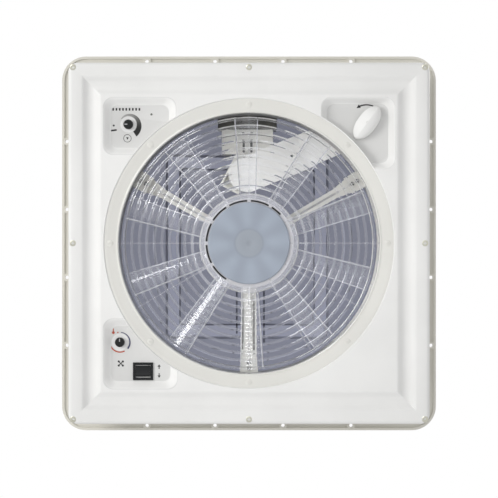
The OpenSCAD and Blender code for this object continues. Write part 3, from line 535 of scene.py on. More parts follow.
def fill_between(bm, borders):
    """Fills the level ground between closed borders of vertices."""
    edges = [bm.edges.get(pair) for border in borders for pair in pairs_round(border)]
    bmesh.ops.triangle_fill(bm, use_beauty=True, use_dissolve=False, edges=edges)


def round_bar_profile(inner, outer, z_low, z_high, corner):
    """Section of a ring: a rectangle with round corners, as radius and height."""
    half_w, half_h = (outer - inner) / 2, (z_high - z_low) / 2
    section = round_square(half_w, half_h, corner, 0.0, 3)
    return [(inner + half_w + across, z_low + half_h + up) for across, up, _ in section]


def gable_profile(middle_r, width, z_low, z_high):
    """Section of a clear ring: a flat back, and two slopes that end in a narrow flat towards the room."""
    slope = 0.5
    half, inner, outer = width / 2, width / 4, width / 10
    section = (
        (half, z_high), (-half, z_high), (-half, z_low + slope * (half - inner)),
        (-inner, z_low), (outer, z_low), (half, z_low + slope * (half - outer)),
    )
    return [(middle_r + across, z) for across, z in section]


def block(bm, centre, size, bevel, turn=Matrix()):
    """A bevelled block of a size at a centre, turned with it about the upright axis."""
    place = turn @ Matrix.Translation(centre) @ Matrix.Diagonal((*size, 1.0))
    made = bmesh.ops.create_cube(bm, size=1.0, matrix=place)
    edges = list({edge for vert in made["verts"] for edge in vert.link_edges})
    bmesh.ops.bevel(bm, geom=edges, offset=bevel, segments=2, affect="EDGES", profile=0.5)


def mark(bm, outline, z, thickness):
    """A printed mark: a flat outline that stands a little off the floor, towards the room."""
    loft(bm, [[(x, y, z) for x, y in outline], [(x, y, z - thickness) for x, y in outline]], "capped")


def dot_outline(centre, radius, count=24):
    """Outline of a round dot."""
    return [(x, y) for x, y, _ in circle(radius, 0.0, count, centre)]


def arc_outline(centre, start, end, inner, outer_start, outer_end, steps=40):
    """Outline of an arc in degrees whose width may grow along it."""
    near, far = [], []
    for k in range(steps + 1):
        part = k / steps
        angle = math.radians(start + (end - start) * part)
        near.append(polar(centre, inner, angle))
        far.append(polar(centre, outer_start + (outer_end - outer_start) * part, angle))
    return near + far[::-1]


def turned_points(centre, angle, points):
    """Points along and beside a direction in degrees, from a centre."""
    along = polar(ORIGIN, 1.0, math.radians(angle))
    return [
        (centre[0] + a * along[0] - b * along[1], centre[1] + a * along[1] + b * along[0])
        for a, b in points
    ]


def bar_outline(centre, length, width, angle=0.0):
    """Outline of a straight bar at an angle in degrees."""
    return turned_points(centre, angle, [(a * length / 2, b * width / 2) for a, b in SQUARE])


def arrow_outlines(centre, length, width, angle):
    """A straight arrow as a bar and a head."""
    half, head_half = length / 2, 1.7 * width
    tail = turned_points(centre, angle, [(-half / 2, 0.0)])[0]
    head = turned_points(centre, angle, [(0.0, head_half), (0.0, -head_half), (half, 0.0)])
    return [bar_outline(tail, half, width, angle), head]


def new_object(name, data):
    """An object of some data, linked to the scene."""
    made = bpy.data.objects.new(name, data)
    bpy.context.scene.collection.objects.link(made)
    return made


def mesh_object(name, bm, finish):
    """An object of a mesh that is ready, with its finish."""
    mesh = bpy.data.meshes.new(name)
    bm.to_mesh(mesh)
    bm.free()
    mesh.materials.append(finish)
    return new_object(name, mesh)


def new_piece(name, bm, finish, body, replaces=None, sharp=35.0, second=None):
    """Makes an object of a mesh in one or two finishes, smooth up to an angle, and puts it on its body."""
    bmesh.ops.recalc_face_normals(bm, faces=bm.faces)
    limit = math.radians(sharp)
    for face in bm.faces:
        face.smooth = True
    for edge in bm.edges:
        edge.smooth = edge.calc_face_angle(math.pi) < limit
    made = mesh_object(name, bm, finish_named(finish))
    if second:
        made.data.materials.append(finish_named(second))
    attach(made, body)
    if replaces:
        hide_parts(replaces)
    return made


def hide_from(made, *rays):
    """Keeps kinds of rays from meeting an object."""
    for ray in rays:
        setattr(made, f"visible_{ray}", False)


class VENT_OT_finishes(bpy.types.Operator):
    """Makes the finishes"""

    bl_idname = "vent.finishes"
    bl_label = "Finishes"

    def execute(self, context):
        make_finishes(context.scene.vent_colours)
        return {"FINISHED"}


def add_lamp(name, kind, place, target, power):
    """A lamp of a kind that looks at a point and isn't seen itself."""
    lamp = bpy.data.lights.new(name, kind)
    lamp.energy = power
    made = new_object(name, lamp)
    made.location = place
    made.rotation_euler = (Vector(target) - Vector(place)).to_track_quat("-Z", "Y").to_euler()
    hide_from(made, "camera")
    return made


class VENT_OT_stage(bpy.types.Operator):
    """Makes the floor, the lights and the camera that looks up at the ceiling side"""

    bl_idname = "vent.stage"
    bl_label = "Stage"

    floor_half = 4.0
    floor_gap = 0.5 * MM
    room_light = 0.65
    backdrop_light = 1.0
    white = (1.0, 1.0, 1.0)
    # Place, width and height, power, colour and the rays that miss it. The key stands at the picture's
    # left and the fill at its lower edge. The glint gives highlights alone, and the last lights the roof.
    area_lights = {
        "key": ((-2.3, -0.5, -1.9), (1.1, 1.1), 39.0, (1.0, 0.99, 0.97), "glossy"),
        "fill": ((0.4, 2.8, -1.5), (2.0, 1.0), 9.0, white, "glossy"),
        "glint": ((-3.86, -3.48, -3.9), (4.4, 1.8), 210.0, white, "diffuse"),
        "above": ((0.9, -0.8, 2.0), (1.6, 1.6), 30.0, white, "transmission"),
    }
    duct_lamp_at = (-0.3, -0.4, -3.0)
    duct_lamp_power = 75.0
    camera_y = 7.0 * MM

    def execute(self, context):
        self.add_floor()
        self.add_surroundings(context.scene)
        for name, (place, size, power, colour, missed_by) in self.area_lights.items():
            made = add_lamp(name, "AREA", place, (0, 0, 0), power)
            made.data.shape = "RECTANGLE"
            made.data.size, made.data.size_y = size
            made.data.color = colour
            hide_from(made, missed_by)
        self.add_duct_lamp()
        self.add_camera(context.scene)
        return {"FINISHED"}

    def add_floor(self):
        """Floor that the vent lies on, which the lights below it shine through."""
        half, z = self.floor_half, CAD_BOX[0].z - self.floor_gap
        bm = bmesh.new()
        bm.faces.new([bm.verts.new((a * half, b * half, z)) for a, b in SQUARE])
        paint = new_finish("floor_paint", one_way_floor, (0.83, 0.83, 0.82), (0.86, 0.86, 0.85))
        floor = mesh_object("floor", bm, paint)
        hide_from(floor, "shadow", "diffuse", "glossy", "transmission")

    def add_surroundings(self, scene):
        """White surroundings, brighter where the camera sees them than where they light the vent."""
        world = bpy.data.worlds.new("studio")
        world.use_nodes = True
        world.node_tree.nodes.clear()
        start = Paint(world.node_tree)
        straight = start.node("LightPath", out="Is Camera Ray")
        bent = start.node("LightPath", out="Is Transmission Ray")
        seen = start.math("MAXIMUM", straight, bent)
        soft, backdrop = [
            start.node("Background", {"Color": shade(self.white), "Strength": strength})
            for strength in (self.room_light, self.backdrop_light)
        ]
        start.node("OutputWorld", {"Surface": start.blend(seen, soft, backdrop)})
        scene.world = world
        scene.view_settings.view_transform = "Standard"

    def add_duct_lamp(self):
        """Spot from beside the camera that fills the duct and its ring, and stops at the frame."""
        target = Vector((0, 0, FACE_Z))
        made = add_lamp("duct_lamp", "SPOT", self.duct_lamp_at, target, self.duct_lamp_power)
        made.data.spot_size = 2 * math.atan(RING_OUT / (target - Vector(self.duct_lamp_at)).length)
        made.data.spot_blend = 0.25
        made.data.shadow_soft_size = 0.15
        hide_from(made, "glossy")

    def add_camera(self, scene):
        """Camera straight below the vent, with the lift side at the top of the picture."""
        sizes = scene.vent_sizes
        lens = bpy.data.cameras.new("camera")
        lens.sensor_width = 36.0
        lens.lens = lens.sensor_width * sizes.camera_distance / sizes.view_width
        lens.clip_start = 0.01
        lens.clip_end = 100.0
        scene.camera = new_object("camera", lens)
        scene.camera.location = (0.0, self.camera_y, FACE_Z - sizes.camera_distance)
        scene.camera.rotation_euler = (math.pi, 0.0, 0.0)


def even_points(points, count):
    """The same closed outline with so many points at even steps."""
    lengths = [(b - a).length for a, b in pairs_round(points)]
    step = sum(lengths) / count
    spaced, travelled = [], 0.0
    for (a, b), length in zip(pairs_round(points), lengths):
        while len(spaced) < count and len(spaced) * step <= travelled + length:
            share = (len(spaced) * step - travelled) / length if length else 0.0
            spaced.append(a.lerp(b, share))
        travelled += length
    return spaced


def pocket_outline(centre, half_x, half_y, corner, ring_r, count=160):
    """Level outline of a control pocket: a round-cornered rectangle cut back to the guard's seat."""
    square = round_square(half_x, half_y, corner, 0.0, 12)
    fine = even_points([Vector((centre[0] + x, centre[1] + y)) for x, y, _ in square], 400)
    outside = [point.length >= ring_r for point in fine]
    first = next(i for i in range(len(fine)) if outside[i] and not outside[i - 1])
    kept = [point for point in fine[first:] + fine[:first] if point.length >= ring_r]
    start, end = [math.atan2(point.y, point.x) for point in (kept[-1], kept[0])]
    arc_steps = 40
    for k in range(1, arc_steps):
        kept.append(Vector(polar(ORIGIN, ring_r, start + (end - start) * k / arc_steps)))
    return even_points(kept, count)


class VENT_OT_frames(bpy.types.Operator):
    """Makes the ceiling frame's soft face and finishes the roof frame, duct, seal and hinges"""

    bl_idname = "vent.frames"
    bl_label = "Roof and ceiling frames"

    edge_r = 5 * MM
    edge_steps = 8
    corner_r = 11 * MM
    groove_mid = FRAME_HALF - 28 * MM
    groove_half = 10 * MM
    groove_d = 6 * MM
    groove_soft = 2.2 * MM
    groove_corner = 0.8 * MM
    groove_steps = 24
    # Level strip along the groove and the pockets, which keeps the shading of the panel even.
    level_w = 0.15 * MM
    # Side across and along, width, length, floor and share of the full slope of each control pocket.
    pockets = (
        (-1, -1, 89 * MM, 70 * MM, FLOOR_Z, 0.86),
        (-1, 1, 91 * MM, 86 * MM, FLOOR_Z, 0.9),
        (1, -1, 90 * MM, 87 * MM, LIFT_FLOOR_Z, 0.68),
    )
    pocket_edge = FRAME_HALF - 42.5 * MM
    pocket_r = 12 * MM
    pocket_steps = 12
    # How much a pocket's corners tighten down its wall, and how softly the wall starts and ends.
    pocket_tighten = 0.3
    pocket_ease = 0.6
    # Ground that is left between a pocket and the seat, and how far the wall there leans.
    seat_land = 1.4 * MM
    seat_lean = 0.8 * MM
    seat_chamfer = (1.1 * MM, 1.3 * MM)
    skirt_half = 193.4 * MM
    skirt_r = 14 * MM
    skirt_wall = 2.5 * MM
    # Radius of the duct's liner at its foot, inside and outside, at its top, and its lift off the guard.
    liner_foot = (RING_IN + 1.2 * MM, RING_IN + 1.4 * MM)
    liner_top = (158.8 * MM, 159.6 * MM)
    liner_rise = 0.5 * MM

    def execute(self, context):
        self.add_face(context.scene.vent_sizes.pocket_slope)
        self.add_skirt()
        self.add_duct_liner()
        dress("roof_painted_shade_moulding", "roof_frame", "hinge_leaves")
        # The duct takes the darker cream of painted shade.
        dress("spider_painted_shade_moulding", "fan_duct")
        dress("seal_rubber", "dome_seal")
        dress("zinc_steel", "hinge_pins")
        return {"FINISHED"}

    def add_duct_liner(self):
        """Thin cone inside the duct that draws in towards the roof."""
        low, high = GUARD_Z + self.liner_rise, high_z("fan_duct")
        foot_in, foot_out = self.liner_foot
        top_in, top_out = self.liner_top
        bm = bmesh.new()
        turned(bm, [(foot_in, low), (top_in, high), (top_out, high), (foot_out, low)], count=128)
        # Its finish paints light on the walls that face the left and shade on the rest.
        new_piece("fan_duct_liner", bm, "duct_painted_light", "frame")

    def groove_depth(self, across):
        """Depth of the groove at a distance from its middle: an arc whose edges are smoothed over."""
        arc_r = (self.groove_half ** 2 + self.groove_d ** 2) / (2 * self.groove_d)
        depths = []
        for share in (-1, -2 / 3, -1 / 3, 0, 1 / 3, 2 / 3, 1):
            place = min(abs(across + self.groove_soft * share), self.groove_half)
            depths.append(math.sqrt(arc_r ** 2 - place ** 2) - (arc_r - self.groove_d))
        return sum(depths) / len(depths)

    def edge_rings(self):
        """Square rings from the back of the outer wall, over the round edge and through the groove."""
        rings = [(FRAME_HALF, self.corner_r, high_z("frame_screws"))]
        for k in range(self.edge_steps + 1):
            angle = TURN / 4 * k / self.edge_steps
            inset = self.edge_r * (1.0 - math.cos(angle))
            z = FACE_Z + self.edge_r * (1.0 - math.sin(angle))
            rings.append((FRAME_HALF - inset, self.corner_r - inset, z))
        reach = self.groove_half + self.groove_soft
        for k in range(self.groove_steps + 1):
            across = reach * (1.0 - 2 * k / self.groove_steps)
            rings.append((self.groove_mid + across, self.groove_corner, FACE_Z + self.groove_depth(across)))
        rings.append((self.groove_mid - reach - self.level_w, self.groove_corner, FACE_Z))
        return [round_square(half, half, radius, z) for half, radius, z in rings]

    def pocket_rings(self, pocket, full_slope):
        """Outlines of one pocket, from its mouth down its soft wall to the floor."""
        side_x, side_y, size_x, size_y, floor_z, share = pocket
        centre = (side_x * (self.pocket_edge - size_x / 2), side_y * (self.pocket_edge - size_y / 2))
        rings = []
        for k in range(-1, self.pocket_steps + 1):
            part = max(k, 0) / self.pocket_steps
            inset = full_slope * share * part if k >= 0 else -self.level_w
            outline = pocket_outline(
                centre, size_x / 2 - inset, size_y / 2 - inset, self.pocket_r - self.pocket_tighten * inset,
                SEAT_R + self.seat_land + min(self.seat_lean * part, inset),
            )
            smooth = part * part * (3.0 - 2.0 * part)
            fall = (1.0 - self.pocket_ease) * part + self.pocket_ease * smooth
            z = FACE_Z + (floor_z - FACE_Z) * fall
            rings.append([(point.x, point.y, z) for point in outline])
        return rings

    def add_face(self, pocket_slope):
        """Face with its groove, pockets and the round seat of the guard."""
        bm = bmesh.new()
        borders = [loft(bm, self.edge_rings())[-1]]
        for pocket in self.pockets:
            known = set(bm.faces)
            rings = loft(bm, self.pocket_rings(pocket, pocket_slope))
            bm.faces.new(rings[-1])
            for face in set(bm.faces) - known:
                face.material_index = 1
            borders.append(rings[0])
        out, up = self.seat_chamfer
        seat_profile = [(SEAT_R + out, FACE_Z), (SEAT_R, FACE_Z + up), (SEAT_R, GUARD_Z)]
        borders.append(turned(bm, seat_profile, count=160, ends="open")[0])
        fill_between(bm, borders)
        # The pockets take the second finish, which paints shade on their floors.
        new_piece(
            "ceiling_frame_face", bm, "white_moulding", "frame", "ceiling_frame",
            second="pocket_painted_shade",
        )

    def add_skirt(self):
        """Square skirt that slides up into the roof frame's neck."""
        low, high = FACE_Z + self.groove_d, high_z("ceiling_frame")
        out, inner = self.skirt_half, self.skirt_half - self.skirt_wall
        bm = bmesh.new()
        loft(bm, [
            round_square(half, half, half - out + self.skirt_r, z)
            for half, z in ((out, low), (out, high), (inner, high), (inner, low))
        ], "joined")
        new_piece("ceiling_frame_skirt", bm, "white_moulding", "frame")


class VENT_OT_dome(bpy.types.Operator):
    """Makes the smoked dome as one smooth drawn sheet, with the rib that closes on the seal"""

    bl_idname = "vent.dome"
    bl_label = "Dome"

    wall = 3 * MM
    foot_r = 31 * MM
    foot_h = 8 * MM
    crown_h = 68 * MM
    # Inset from the dome's side, corner radius and height above the foot, up to the crown, in millimetres.
    layers = (
        (0, 34, 0), (0, 34, 10), (0, 34, 26), (0.6, 34, 30), (2, 34, 34), (3.7, 33.5, 38), (6, 33, 42),
        (9.2, 32, 46), (13, 32, 49), (18, 33, 52.7), (24, 34, 56), (31.5, 36, 59.3), (40, 38, 62),
        (50.5, 39, 64.2), (62, 40, 66), (76, 39, 67.2),
    )
    relief = (104 * MM, 117.5 * MM)
    relief_at = (-2.5 * MM, 4.5 * MM)
    relief_band = 18.5 * MM
    fold_w = 2.2 * MM
    fold_h = 2.8 * MM
    fold_soft = 0.2 * MM
    # Place across, and first and last place along, of the webs.
    webs = ((-15.7 * MM, 44 * MM, 116 * MM), (19.3 * MM, 58 * MM, 128 * MM))
    web_t = 1.8 * MM
    web_h = 5 * MM
    web_drop = 5 * MM
    web_bevel = 0.3 * MM
    # Inset from the seal's side and rise over the seal, round the rib's section, in millimetres.
    rib_section = ((3, 14), (3, 1.1), (3.8, 0.3), (5.2, 0.3), (6, 1.1), (6, 14))
    rib_r = 28.5 * MM

    def execute(self, context):
        self.add_sheet()
        self.add_webs()
        self.add_rib()
        return {"FINISHED"}

    def rings(self):
        """Rings of the sheet: a turned-in foot, the drawn wall, the crown and the raised rectangle."""
        half, foot, top = half_width("dome_shell"), low_z("dome_shell"), high_z("dome_shell")
        squares = [(half - self.wall, self.foot_r, foot + z) for z in (self.foot_h, 0.0)]
        squares += [(half - inset * MM, radius * MM, foot + z * MM) for inset, radius, z in self.layers]
        rings = [round_square(side, side, radius, z, 10) for side, radius, z in squares]
        crown = foot + self.crown_h
        steps = (
            (-10 * MM, 30 * MM, crown - self.fold_soft),
            (-1 * MM, 8 * MM, crown),
            (self.fold_w, 6 * MM, crown + self.fold_h),
            (self.relief_band - self.fold_w, 4 * MM, top - self.fold_h),
            (self.relief_band, 3 * MM, top - self.fold_soft),
            (self.relief_band + 4 * MM, 2 * MM, top),
        )
        shift_x, shift_y = self.relief_at
        for inset, radius, z in steps:
            ring = round_square(self.relief[0] - inset, self.relief[1] - inset, radius, z, 10)
            rings.append([(x + shift_x, y + shift_y, z) for x, y, z in ring])
        return rings

    def add_sheet(self):
        """Drawn sheet, whose raised rectangle has a paler band round it."""
        bm = bmesh.new()
        made = loft(bm, self.rings())
        bm.faces.new(made[-1])
        band = set(made[-4]) | set(made[-3])
        for face in bm.faces:
            if band.issuperset(face.verts):
                face.material_index = 1
        new_piece(
            "dome_sheet", bm, "smoked_sheet", "dome", "dome_shell",
            sharp=50.0, second="smoked_band",
        )

    def add_webs(self):
        """Two thin webs under the crown that run from the middle towards the hinge."""
        z = high_z("dome_shell") - self.web_drop
        bm = bmesh.new()
        for across, first, last in self.webs:
            size = (self.web_t, last - first, self.web_h)
            block(bm, (across, (first + last) / 2, z), size, self.web_bevel)
        new_piece("dome_webs", bm, "smoked_sheet", "dome")

    def add_rib(self):
        """Square rib under the dome that meets the seal all round."""
        seal_half, seal_z = half_width("dome_seal"), high_z("dome_seal")
        rings = []
        for inset, rise in self.rib_section:
            half = seal_half - inset * MM
            rings.append(round_square(half, half, half - seal_half + self.rib_r, seal_z + rise * MM, 8))
        bm = bmesh.new()
        loft(bm, rings)
        new_piece("dome_rib", bm, "smoked_sheet", "dome")


class VENT_OT_guard(bpy.types.Operator):
    """Makes the clear guard with its rings and spokes, its cap, and the ring that holds it"""

    bl_idname = "vent.guard"
    bl_label = "Fan guard"

    ring_count = 10
    first_ring = CAP_R + 19.5 * MM
    last_ring = RING_IN - 7.1 * MM
    hub_ring = (CAP_R + 3.1 * MM, CAP_R + 11 * MM)
    hub_ring_corner = 1.4 * MM
    rim_in = RING_IN - 1.2 * MM
    rim_rise = 0.1 * MM
    rim_corner = 0.4 * MM
    spoke_count = 12
    spoke_in = CAP_R - 5 * MM
    spoke_w = 2 * MM
    spoke_bevel = 0.6 * MM
    spoke_sunk = 0.3 * MM
    # Radius and rise of the cap's dimple and shallow ring, then inset and rise of its edge, in millimetres.
    cap_middle = ((0.8, 0.45), (2.2, 0.4), (3.2, 0.05), (14.6, 0.05), (16.2, 0.3), (17.8, 0.3), (19.4, 0.05))
    cap_edge = ((1.8, 0.05), (0.9, 0.2), (0.2, 0.7), (0, 1.2))
    cap_t = 1.6 * MM
    cap_seat = (CAP_R - 1.6 * MM, CAP_R + 4.8 * MM)
    cap_seat_t = 1.6 * MM
    cap_seat_corner = 0.5 * MM
    cap_seat_gap = 0.8 * MM
    # Spaces between the spokes where the gap round the cap lies in shade, and the black band of painted
    # shadow in each: its inner and outer radius, its thickness and the degrees that it keeps away from the
    # spokes.
    slots = range(4, 11)
    slot = (CAP_R + 0.9 * MM, CAP_R + 3.0 * MM)
    shadow_t = 0.2 * MM
    shadow_margin = 2.4
    # Inset and rise of the holding ring's steps, then of the bead along its inner edge, in millimetres.
    ring_steps = ((0, 1.3), (3.2, 1.2), (4.2, 1.6), (9.6, 1.7), (11.6, 2.4))
    ring_bead = ((2.4, 2.5), (1.3, 1.95), (0.9, 1.95), (0, 2.4))
    ring_back = 0.9 * MM

    def execute(self, context):
        self.add_guard(context.scene.vent_sizes.ring_w)
        self.add_cap()
        self.add_ring()
        return {"FINISHED"}

    def add_guard(self, ring_w):
        """Sloped rings, spokes, the wide ring round the cap and the rim under the holding ring."""
        low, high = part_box("fan_guard")
        bm = bmesh.new()
        step = (self.last_ring - self.first_ring) / (self.ring_count - 1)
        for i in range(self.ring_count):
            turned(bm, gable_profile(self.first_ring + i * step, ring_w, low.z, high.z), count=160)
        turned(bm, round_bar_profile(*self.hub_ring, low.z, high.z, self.hub_ring_corner))
        rim = round_bar_profile(self.rim_in, high.x, low.z + self.rim_rise, GUARD_Z, self.rim_corner)
        turned(bm, rim, count=120)
        spoke_at = ((self.spoke_in + RING_IN) / 2, 0, (low.z + high.z) / 2)
        spoke_size = (RING_IN - self.spoke_in, self.spoke_w, high.z - low.z - self.spoke_sunk)
        for i in range(self.spoke_count):
            turn = Matrix.Rotation(TURN * i / self.spoke_count, 4, "Z")
            block(bm, spoke_at, spoke_size, self.spoke_bevel, turn)
        grille = new_piece(
            "guard_grille", bm, "clear_guard", "frame", "fan_guard", sharp=18.0,
        )
        hide_from(grille, "glossy")

    def add_cap(self):
        """Frosted cap with a round edge, a shallow ring and a dimple, over a grey seat."""
        low = low_z("guard_cap")
        high = low + self.cap_t
        profile = [beside((0.0, low), radius, rise) for radius, rise in self.cap_middle]
        profile += [beside((CAP_R, low), -inset, rise) for inset, rise in self.cap_edge]
        bm = bmesh.new()
        turned(bm, profile + [(CAP_R, high), (1 * MM, high)], ends="capped")
        new_piece("guard_cap_disc", bm, "frosted_cap", "frame", "guard_cap", sharp=50.0)
        seat_z = high + self.cap_seat_gap
        seat = round_bar_profile(*self.cap_seat, seat_z, seat_z + self.cap_seat_t, self.cap_seat_corner)
        bm = bmesh.new()
        turned(bm, seat)
        new_piece("guard_cap_seat", bm, "cap_seat", "frame")
        # Painted shadow in the gap between the cap and its seat.
        self.add_cap_painted_shadow(seat_z)

    def add_cap_painted_shadow(self, z):
        """Black bands of painted shadow in the gap round the cap, between the spokes on its shaded side."""
        step = 360 / self.spoke_count
        inner, outer = self.slot
        bm = bmesh.new()
        for i in self.slots:
            end = (i + 1) * step - self.shadow_margin
            if i == self.slots[-1]:
                end -= step / 3
            outline = arc_outline(ORIGIN, i * step + self.shadow_margin, end, inner, outer, outer, steps=12)
            mark(bm, outline, z, self.shadow_t)
        new_piece("guard_cap_painted_shadow", bm, "black_and_shadow_moulding", "frame")

    def add_ring(self):
        """Dished ring: a flat band, two low steps and a bead along the inner edge."""
        profile = [(RING_OUT, GUARD_Z)]
        profile += [beside((RING_OUT, FACE_Z), -inset, rise) for inset, rise in self.ring_steps]
        profile += [beside((RING_IN, FACE_Z), inset, rise) for inset, rise in self.ring_bead]
        profile.append((RING_IN, GUARD_Z - self.ring_back))
        bm = bmesh.new()
        turned(bm, profile, count=160)
        new_piece("guard_ring_dish", bm, "ring_moulding", "frame", "guard_ring", sharp=24.0)


class VENT_OT_fan(bpy.types.Operator):
    """Makes the clear fan and finishes its motor and the spider that carries it"""

    bl_idname = "vent.fan"
    bl_label = "Fan and motor"

    # A blade is an arc of a wide tube at a pitch, made of sections at so many stations.
    blade_count = 10
    stations = 10
    phase = math.radians(-19.3)
    pitch = math.radians(30)
    curve_r = 47 * MM
    half_t = 0.9 * MM
    rim_w = 0.8 * MM
    root_r = 44.8 * MM
    root_half = 9 * MM
    tip_half = 14 * MM
    tip_reach = 1.5 * MM
    hub_r = 46 * MM
    hub_wall = 2.5 * MM
    hub_edge = 1.2 * MM
    hub_z = (FAN_Z - 10 * MM, FAN_Z + 8 * MM)
    boss_r = 8 * MM
    bore_r = 4 * MM
    # Side, width, start and end of the strips of painted shadow in the channels along the lead arm.
    channels = (
        (-7.9 * MM, 1.6 * MM, 80 * MM, 131 * MM),
        (6.7 * MM, 2.6 * MM, 71 * MM, 132 * MM),
    )
    channel_shadow_t = 0.4 * MM

    def execute(self, context):
        self.add_blades()
        self.add_hub()
        self.add_channel_shadows()
        dress("spider_painted_shade_moulding", "motor_spider")
        dress("zinc_steel", "motor", "motor_shaft", "fan_nut")
        return {"FINISHED"}

    def blade_section(self, reach, half, turn, steps=14):
        """Closed section of a blade at a radius: a thin arc of a wide tube with rounded edges."""
        axis_y = self.curve_r * math.sin(self.pitch)
        axis_z = FAN_Z - self.curve_r * math.cos(self.pitch)
        first, last = [math.asin((side - axis_y) / self.curve_r) for side in (-half, half)]
        rim = self.rim_w / self.curve_r
        span = last - first - 2 * rim
        angles = [first, *(first + rim + span * k / steps for k in range(steps)), last - rim, last]
        bulge = 0.6 * self.half_t / self.curve_r
        section = [(angle, self.half_t) for angle in angles] + [(last + bulge, 0.0)]
        section += [(angle, -self.half_t) for angle in reversed(angles)] + [(first - bulge, 0.0)]
        points = []
        for angle, off in section:
            z, y = polar((axis_z, axis_y), self.curve_r + off, angle)
            points.append(turn @ Vector((reach, y, z)))
        return points

    def add_blades(self):
        """Ten curved blades whose long edges are rounded, with a painted highlight of haze along them."""
        tip_r = half_width("fan_rotor") + self.tip_reach
        bm = bmesh.new()
        for i in range(self.blade_count):
            turn = Matrix.Rotation(self.phase + TURN * i / self.blade_count, 4, "Z")
            rings = []
            for k in range(self.stations + 1):
                part = k / self.stations
                half = self.root_half + (self.tip_half - self.root_half) * part
                rings.append(self.blade_section(self.root_r + (tip_r - self.root_r) * part, half, turn))
            made = loft(bm, rings, "capped")
            self.mark_rim_highlights(bm, made)
        new_piece(
            "fan_blades", bm, "clear_fan", "fan", "fan_rotor",
            sharp=50.0, second="blade_rim_highlight",
        )

    def mark_rim_highlights(self, bm, rings):
        """Gives the faces along both edges of a blade the second finish, a hazier one that paints a
        highlight.
        """
        side = len(rings[0]) // 2 - 1
        for first, second in zip(rings, rings[1:]):
            for span in (-3, -2, -1, 0, side - 2, side - 1, side, side + 1):
                face = bm.faces.get((first[span], first[span + 1], second[span + 1], second[span]))
                if face is None:
                    raise RuntimeError("a blade's rim has no face")
                face.material_index = 1

    def add_hub(self):
        """Cup that carries the blades, with a boss on the motor's shaft."""
        low, high = self.hub_z
        inside, floor = self.hub_r - self.hub_wall, low + self.hub_wall
        bm = bmesh.new()
        turned(bm, [
            (self.bore_r, low), (self.hub_r - self.hub_edge, low), (self.hub_r, low + self.hub_edge),
            (self.hub_r, high), (inside, high), (inside, floor),
            (self.boss_r, floor), (self.boss_r, high), (self.bore_r, high),
        ], count=72)
        new_piece("fan_hub", bm, "clear_fan", "fan")

    def add_channel_shadows(self):
        """Dark strips of painted shadow in the channels of the arm that carries the motor's lead."""
        bm = bmesh.new()
        for side, width, start, end in self.channels:
            place = (side, (start + end) / 2, low_z("motor_spider"))
            block(bm, place, (width, end - start, self.channel_shadow_t), self.channel_shadow_t / 4)
        new_piece("motor_spider_channel_shadows", bm, "shield_and_shadow_moulding", "frame")


class VENT_OT_controls(bpy.types.Operator):
    """Makes the control knobs and finishes the switch, lamp and board"""

    bl_idname = "vent.controls"
    bl_label = "Controls"

    # Share of the knob's radius, rise over its face in millimetres and depth of the flutes there.
    knob_profile = (
        (1.0, 2.2, 0), (0.97, 1.6, 0.05), (0.9, 0.7, 0.05), (0.82, 0.15, 0.02), (0.72, 0, 0), (0.3, 0.1, 0),
    )
    knob_gap = 0.4 * MM
    flute_points = 6
    pointer_t = 0.1 * MM
    # Share of the lens's radius, and how far it stands out of the floor in millimetres.
    lens_profile = ((1.0, -2), (1.0, 0.2), (0.9, 0.45), (0.6, 0.75), (0.2, 0.9))

    def execute(self, context):
        flutes = context.scene.vent_sizes.flutes
        self.add_knob("speed_knob", "speed_dial", flutes, TURN / 2)
        self.add_knob("thermostat_knob", "thermostat_dial", flutes, -TURN / 4)
        self.add_lens()
        dress("black_and_shadow_moulding", "switch_body", "switch_rocker")
        dress("zinc_steel", "speed_pot", "thermostat_pot")
        dress("turned_brass", "switch_terminals")
        dress("green_board", "control_board", "supply_terminal")
        return {"FINISHED"}

    def add_lens(self):
        """Small domed lens of the status lamp, which stands a little proud of the floor."""
        radius = 0.55 * half_width("status_led")
        profile = [(share * radius, FLOOR_Z - out * MM) for share, out in self.lens_profile]
        bm = bmesh.new()
        turned(bm, profile, count=32, centre=middle("status_led"), ends="capped")
        new_piece("status_lamp_lens", bm, "lamp_lens", "frame", "status_led", sharp=50.0)

    def add_knob(self, node, body, flutes, pointer_angle):
        """Fluted knob with a pale pointer on its face."""
        centre, radius, low = middle(node), half_width(node), low_z(node)
        profile = [(1.0, FLOOR_Z - self.knob_gap, 0)]
        profile += [(share, low + rise * MM, depth) for share, rise, depth in self.knob_profile]
        count = self.flute_points * flutes
        rings = []
        for share, z, depth in profile:
            ring = []
            for i in range(count):
                angle = TURN * i / count
                reach = radius * (share - depth * max(0.0, math.cos(flutes * angle)))
                ring.append((*polar(centre, reach, angle), z))
            rings.append(ring)
        bm = bmesh.new()
        loft(bm, rings, "capped")
        new_piece(f"{node}_grip", bm, "black_and_shadow_moulding", body, node)
        at = polar(centre, 0.46 * radius, pointer_angle)
        pointer = bar_outline(at, 0.62 * radius, 0.2 * radius, math.degrees(pointer_angle))
        bm = bmesh.new()
        mark(bm, pointer, low + self.pointer_t, self.pointer_t)
        new_piece(f"{node}_pointer", bm, "grey_ink", body)


